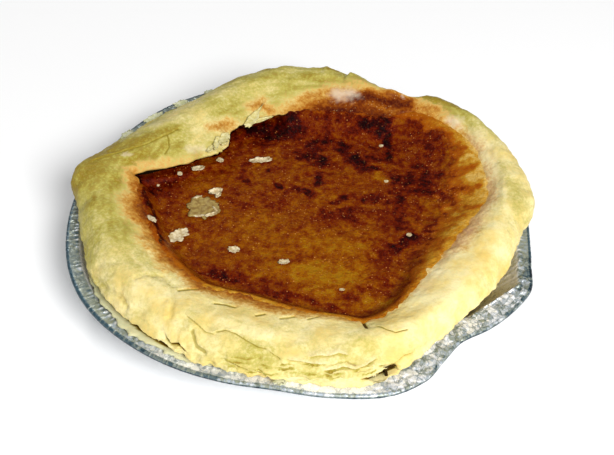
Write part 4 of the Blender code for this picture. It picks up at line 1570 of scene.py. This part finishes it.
    def build(self) -> list[bpy.types.Object]:
        """Makes the filling, which stands for its solid.

        Returns:
            The filling alone.
        """
        mesh = wrapped(self.spokes, self.section, lambda angle, spot: polar(angle, *spot))
        places = places_of(mesh)
        angles, radius = round_of(places)
        lip = self.case.lip.at(angles)
        coarse, fine = self.skin
        moves = coarse * Grain(3.4, 3, shift=4.0).over(places) + fine * Grain(1.1, 3).over(places)
        torn = self.tatter * Grain(2.4, 3, shift=9.0).over(places)
        moves += torn * smooth((radius - lip + 1.2) / 1.2)
        moves *= (places[:, 2] > self.level - 2.0) * smooth((lip + 3.0 - radius) / 3.0)
        push(mesh, moves)
        piece = new_piece("baked_filling", mesh, FillingFinish().material(), Slot.FILLING, "filling")
        # bake is the browning and the painted shadow under the flap's lip
        paint(piece, bake=self.baked(places), rim=self.rim(places))
        return [piece]

    def baked(self, places: np.ndarray) -> np.ndarray:
        """Works out the mottled browning of the skin, and the painted shadow under the flap's lip.

        Args:
            places: rows of x, y and z.

        Returns:
            How dark it has baked at each place, with the painted shadow, from 0 to 1.
        """
        flat = places * (1.0, 1.0, 0.0)
        warped = flat[:, :2] + self.wander * stray(flat, 6.0, 4, 31.0)
        level = np.full(len(places), self.bake)
        fine = 0.95 + 0.25 * Grain(2.2, 2, shift=81.0).over(flat)
        for value, width, *line in self.patches:
            patch = ColourBand(tuple(zip(line[::2], line[1::2])), width, value, self.softness)
            level = mix(level, value, self.strength * fine * patch.cover(warped))
        level += self.mottle[0] * Grain(7.0, 4, shift=51.0).over(flat)
        level += self.mottle[1] * Grain(2.4, 2, shift=61.0).over(flat)
        # painted shadow under the flap's lip, where a place shade_depth nearer the front is still beyond
        # the lip
        angles, radius = round_of(flat - (0.0, self.shade_depth, 0.0))
        under = smooth(radius - self.case.lip.at(angles) + 0.5)
        return mix(level, 1.0, self.tucked(round_of(flat)[0]) * under)

    def rim(self, places: np.ndarray) -> np.ndarray:
        """Works out where the skin turns pale beside the lip.

        Args:
            places: rows of x, y and z.

        Returns:
            How far each place has gone over to the pastry's colour, from 0 to 1.
        """
        flat = places * (1.0, 1.0, 0.0)
        angles, radius = round_of(flat)
        ragged = 0.5 * Grain(6.0, 4, shift=71.0).over(flat) + 0.2 * Grain(1.8, 2).over(flat)
        away, level = self.case.lip.at(angles) - radius, self.rim_level.at(angles)
        start, width = self.seam
        edge = np.exp(-np.maximum(away, 0.0) / width) * np.maximum(level - start, 0.0)
        return level * (1.0 - smooth(away / self.rim_width.at(angles) + ragged)) + self.seam_gain * edge


# ---- Flakes ----

@dataclass(frozen=True)
class Flake:
    """A thin leaf of pastry: its middle, its size, how it is turned, and how it curls."""

    x: float
    y: float
    length: float
    width: float
    turn: float = 0.0
    tilt: float = 0.0       # its far end up
    roll: float = 0.0       # its left side up
    curl: float = 0.0       # how far its ends rise
    lift: float = 0.0       # above what carries it
    point: float = 0.0      # 1 narrows it to a point at its far end
    thickness: float = 0.35
    ragged: float = 0.3
    base: float | None = None   # the height of what carries it, if that isn't the filling

    def mesh(self, height: float, seed: int) -> bmesh.types.BMesh:
        """Makes the leaf.

        Args:
            height: of what carries it.
            seed: which ragged edge it gets.

        Returns:
            A closed thin mesh, in place.
        """
        leaf = bmesh.new()
        bmesh.ops.create_grid(leaf, x_segments=20, y_segments=14, size=1.0)
        for vertex in leaf.verts:
            u, v, _ = vertex.co
            x, y = u * math.sqrt(1.0 - 0.5 * v * v), v * math.sqrt(1.0 - 0.5 * u * u)
            edge = math.hypot(x, y)
            tear = noise.fractal(Vector((2.2 * x, 2.2 * y, 7.0 * seed)) / max(edge, 0.2),
                                 1.0, 2.0, 4)
            grow = 1.0 + self.ragged * tear * edge
            narrow = 1.0 - self.point * smooth((x + 0.6) / 1.6)
            x, y = 0.5 * self.length * x * grow, 0.5 * self.width * y * grow * narrow
            wave = 0.25 * noise.noise(Vector((x / 2.5, y / 2.5, 3.0 * seed)))
            vertex.co = (x, y, self.curl * edge * edge + wave + 0.25)
        bmesh.ops.solidify(leaf, geom=leaf.faces, thickness=self.thickness)
        bmesh.ops.recalc_face_normals(leaf, faces=leaf.faces)
        bmesh.ops.transform(leaf, verts=leaf.verts, matrix=(
            Matrix.Translation((self.x, self.y, height + self.lift))
            @ Matrix.Rotation(math.radians(self.turn), 4, "Z")
            @ Matrix.Rotation(math.radians(-self.tilt), 4, "Y")
            @ Matrix.Rotation(math.radians(self.roll), 4, "X")))
        return leaf


def joined(meshes: Iterable[bmesh.types.BMesh]) -> bmesh.types.BMesh:
    """Joins meshes into one.

    Args:
        meshes: the meshes, which are freed.

    Returns:
        The joined mesh.
    """
    whole = bmesh.new()
    for mesh in meshes:
        data = bpy.data.meshes.new("part")
        mesh.to_mesh(data)
        mesh.free()
        whole.from_mesh(data)
        bpy.data.meshes.remove(data)
    return whole


@dataclass(frozen=True)
class FlakeSet:
    """Flakes of one finish, which make one piece."""

    name: str
    finish: LeafFinish
    flakes: tuple[Flake, ...]

    def build(self, filling: Filling) -> bpy.types.Object:
        """Makes the piece.

        Args:
            filling: what carries the flakes that have no base of their own.

        Returns:
            The piece.
        """
        bases = [filling.top(f.x, f.y) if f.base is None else f.base for f in self.flakes]
        mesh = joined(f.mesh(base, i) for i, (f, base) in enumerate(zip(self.flakes, bases)))
        return new_piece(self.name, mesh, self.finish.material(), Slot.PASTRY)


@dataclass
class LooseFlakes:
    """The pale flakes that lie on the filling, and the leaves that stand or lie on the pastry."""

    filling: Filling
    clear: FlakeSet = FlakeSet(
        "clear_flakes", LeafFinish("clear flake", (160, 136, 70), (126, 96, 36)), (
            Flake(-34.9, -4.0, 12.0, 10.5, -30, thickness=0.2, curl=0.2, ragged=0.45, lift=0.12),
        ),
    )
    white: FlakeSet = FlakeSet(
        "white_flakes", LeafFinish("white flake", (220, 206, 170), (176, 152, 104)), (
            Flake(-42.0, -19.5, 8.5, 4.8, 48, curl=0.5, lift=0.1, ragged=0.5),
            Flake(-22.6, -24.7, 3.6, 2.6, curl=0.3, ragged=0.5),
            Flake(-5.6, -29.8, 3.6, 2.2, 10, curl=0.3, ragged=0.5),
            Flake(-16.8, 23.8, 7.6, 2.8, 12, curl=0.4, lift=0.1, ragged=0.5),
            Flake(-39.0, 16.0, 4.8, 2.2, 20, curl=0.3, ragged=0.5),
            Flake(-31.5, 21.3, 2.2, 2.6, 60, curl=0.3, ragged=0.4),
            Flake(-45.1, 12.6, 1.8, 1.8),
            Flake(-31.6, 4.6, 5.0, 2.2, 25, roll=20, curl=0.6, lift=0.3, ragged=0.5),
            Flake(-30.2, 2.4, 2.6, 1.8, 70, roll=-20, curl=0.5, lift=0.3, ragged=0.5),
            Flake(-32.0, -8.0, 4.6, 1.2, 30, curl=0.4, lift=0.3, ragged=0.5),
            Flake(27.6, 36.1, 1.6, 1.4), Flake(29.2, 15.5, 1.5, 1.2),
            Flake(36.6, -12.8, 1.8, 1.8), Flake(13.9, -40.9, 1.8, 1.1, 10),
            Flake(-52.2, 6.8, 1.0, 1.0), Flake(-50.8, -18.0, 4.8, 1.7, -48, tilt=8, lift=0.8),
            Flake(-37.6, 1.0, 3.2, 0.8, 30, lift=0.35, ragged=0.5),
            Flake(-30.6, -5.0, 3.6, 0.7, -50, lift=0.35, ragged=0.5),
            Flake(-35.6, -8.6, 4.2, 0.9, 8, lift=0.35, ragged=0.5),
        ),
    )
    leaves: FlakeSet = FlakeSet(
        "pastry_leaves", LeafFinish("pastry leaf", (222, 212, 156), (196, 182, 108)), (
            Flake(-20.0, 42.1, 14.0, 4.2, 66, tilt=10, curl=0.4, point=1.0, lift=0.6, base=32.4),
            Flake(-17.8, 39.9, 9.4, 2.0, 26, tilt=4, curl=0.3, point=0.5, lift=0.5, base=32.1),
            # the torn edge of the fold
            Flake(-30.2, 25.8, 7.4, 3.8, 82, roll=-6, curl=0.3, lift=0.3, base=33.5),
            Flake(-32.8, 22.9, 7.6, 2.0, 88, roll=10, curl=0.4, lift=0.6, base=33.1),
            Flake(-34.6, 20.6, 4.8, 2.2, 70, roll=-10, curl=0.3, lift=0.4, base=32.6),
        ),
    )
    hanging: FlakeSet = FlakeSet(
        "hanging_flakes", LeafFinish("hanging flake", (216, 216, 186), (188, 190, 142)), (
            Flake(-59.8, 50.6, 9.0, 3.0, 50, roll=12, ragged=0.6, base=23.3),
            Flake(-50.4, 60.6, 5.4, 3.0, 40, roll=14, ragged=0.6, base=23.3),
            Flake(-40.2, 68.2, 4.0, 3.0, 32, roll=16, ragged=0.6, base=23.6),
            Flake(-68.6, 39.0, 6.0, 2.4, 60, roll=10, ragged=0.6, base=23.3),
            Flake(-4.2, -77.3, 6.6, 4.6, 84, tilt=-8, ragged=0.4, base=23.7),
        ),
    )

    def build(self) -> list[bpy.types.Object]:
        """Makes the four pieces."""
        sets = (self.clear, self.white, self.leaves, self.hanging)
        return [flakes.build(self.filling) for flakes in sets]


# ---- The studio ----

@dataclass
class Studio:
    """The floor, the soft light and the camera."""

    eye: tuple[float, float, float] = (1.498, -304.573, 290.251)
    aim: tuple[float, float, float] = (1.498, -6.65, 22.0)
    field: float = 30.0
    roll: float = 3.0
    floor_size: float = 6000.0
    lamps: tuple[tuple[tuple[float, float, float], float, float], ...] = (
        ((380.0, -820.0, 760.0), 420.0, 14.5),
        ((-420.0, 700.0, 760.0), 160.0, 1.6),
    )
    sky: tuple[float, float] = (0.34, 0.5)   # its strength at the back and at the front
    sky_reach: float = 0.8   # how far to the back and the front it changes
    near_clip: float = 0.01

    def build_floor(self) -> None:
        """Lays the floor under the dish."""
        mesh = bmesh.new()
        bmesh.ops.create_grid(mesh, x_segments=1, y_segments=1, size=0.5 * self.floor_size * MM)
        data = bpy.data.meshes.new("floor")
        mesh.to_mesh(data)
        mesh.free()
        data.materials.append(FloorFinish().material())
        floor = bpy.data.objects.new("floor", data)
        floor.location.z = -0.05 * MM
        bpy.context.scene.collection.objects.link(floor)

    def build_lamps(self) -> None:
        """Hangs the soft lamps, which face the pudding."""
        for i, (place, size, power) in enumerate(self.lamps):
            lamp = bpy.data.lights.new(f"lamp_{i}", "AREA")
            lamp.shape, lamp.size, lamp.energy = "DISK", size * MM, power
            thing = bpy.data.objects.new(f"lamp_{i}", lamp)
            thing.location = Vector(place) * MM
            thing.rotation_euler = (-Vector(place)).to_track_quat("-Z", "Y").to_euler()
            bpy.context.scene.collection.objects.link(thing)

    def build_sky(self) -> None:
        """Surrounds all with a pale light that is stronger at the front."""
        world = bpy.data.worlds.new("studio")
        world.use_nodes = True
        nodes, links = world.node_tree.nodes, world.node_tree.links
        facing = nodes.new("ShaderNodeTexCoord")
        parts = nodes.new("ShaderNodeSeparateXYZ")
        strength = nodes.new("ShaderNodeMapRange")
        strength.inputs["From Min"].default_value = self.sky_reach
        strength.inputs["From Max"].default_value = -self.sky_reach
        strength.inputs["To Min"].default_value, strength.inputs["To Max"].default_value = self.sky
        links.new(facing.outputs["Generated"], parts.inputs["Vector"])
        links.new(parts.outputs["Y"], strength.inputs["Value"])
        links.new(strength.outputs["Result"], nodes["Background"].inputs["Strength"])
        nodes["Background"].inputs["Color"].default_value = (1.0, 1.0, 1.0, 1.0)
        bpy.context.scene.world = world

    def build_camera(self) -> None:
        """Sets the camera at the photograph's viewing angle."""
        lens = bpy.data.cameras.new("camera")
        lens.sensor_fit = "HORIZONTAL"
        lens.angle = math.radians(self.field)
        lens.clip_start = self.near_clip
        camera = bpy.data.objects.new("camera", lens)
        eye, aim = Vector(self.eye), Vector(self.aim)
        facing = (aim - eye).to_track_quat("-Z", "Y").to_matrix().to_4x4()
        camera.matrix_world = (Matrix.Translation(eye * MM) @ facing
                               @ Matrix.Rotation(math.radians(self.roll), 4, "Z"))
        bpy.context.scene.collection.objects.link(camera)
        bpy.context.scene.camera = camera

    def build(self) -> None:
        """Sets up all that isn't part of the pudding."""
        self.build_floor()
        self.build_lamps()
        self.build_sky()
        self.build_camera()
        bpy.context.scene.view_settings.view_transform = "Standard"


def main() -> None:
    """Builds every piece and the studio round them."""
    logging.basicConfig(level=logging.INFO, format="%(name)s: %(message)s")
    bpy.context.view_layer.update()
    Studio().build()
    dish = FoilDish()
    case = PastryCase(dish)
    filling = Filling(case)
    for maker in (dish, case, filling, LooseFlakes(filling)):
        for piece in maker.build():
            LOG.info("%s is made", piece.name)


if __name__ == "__main__":
    main()
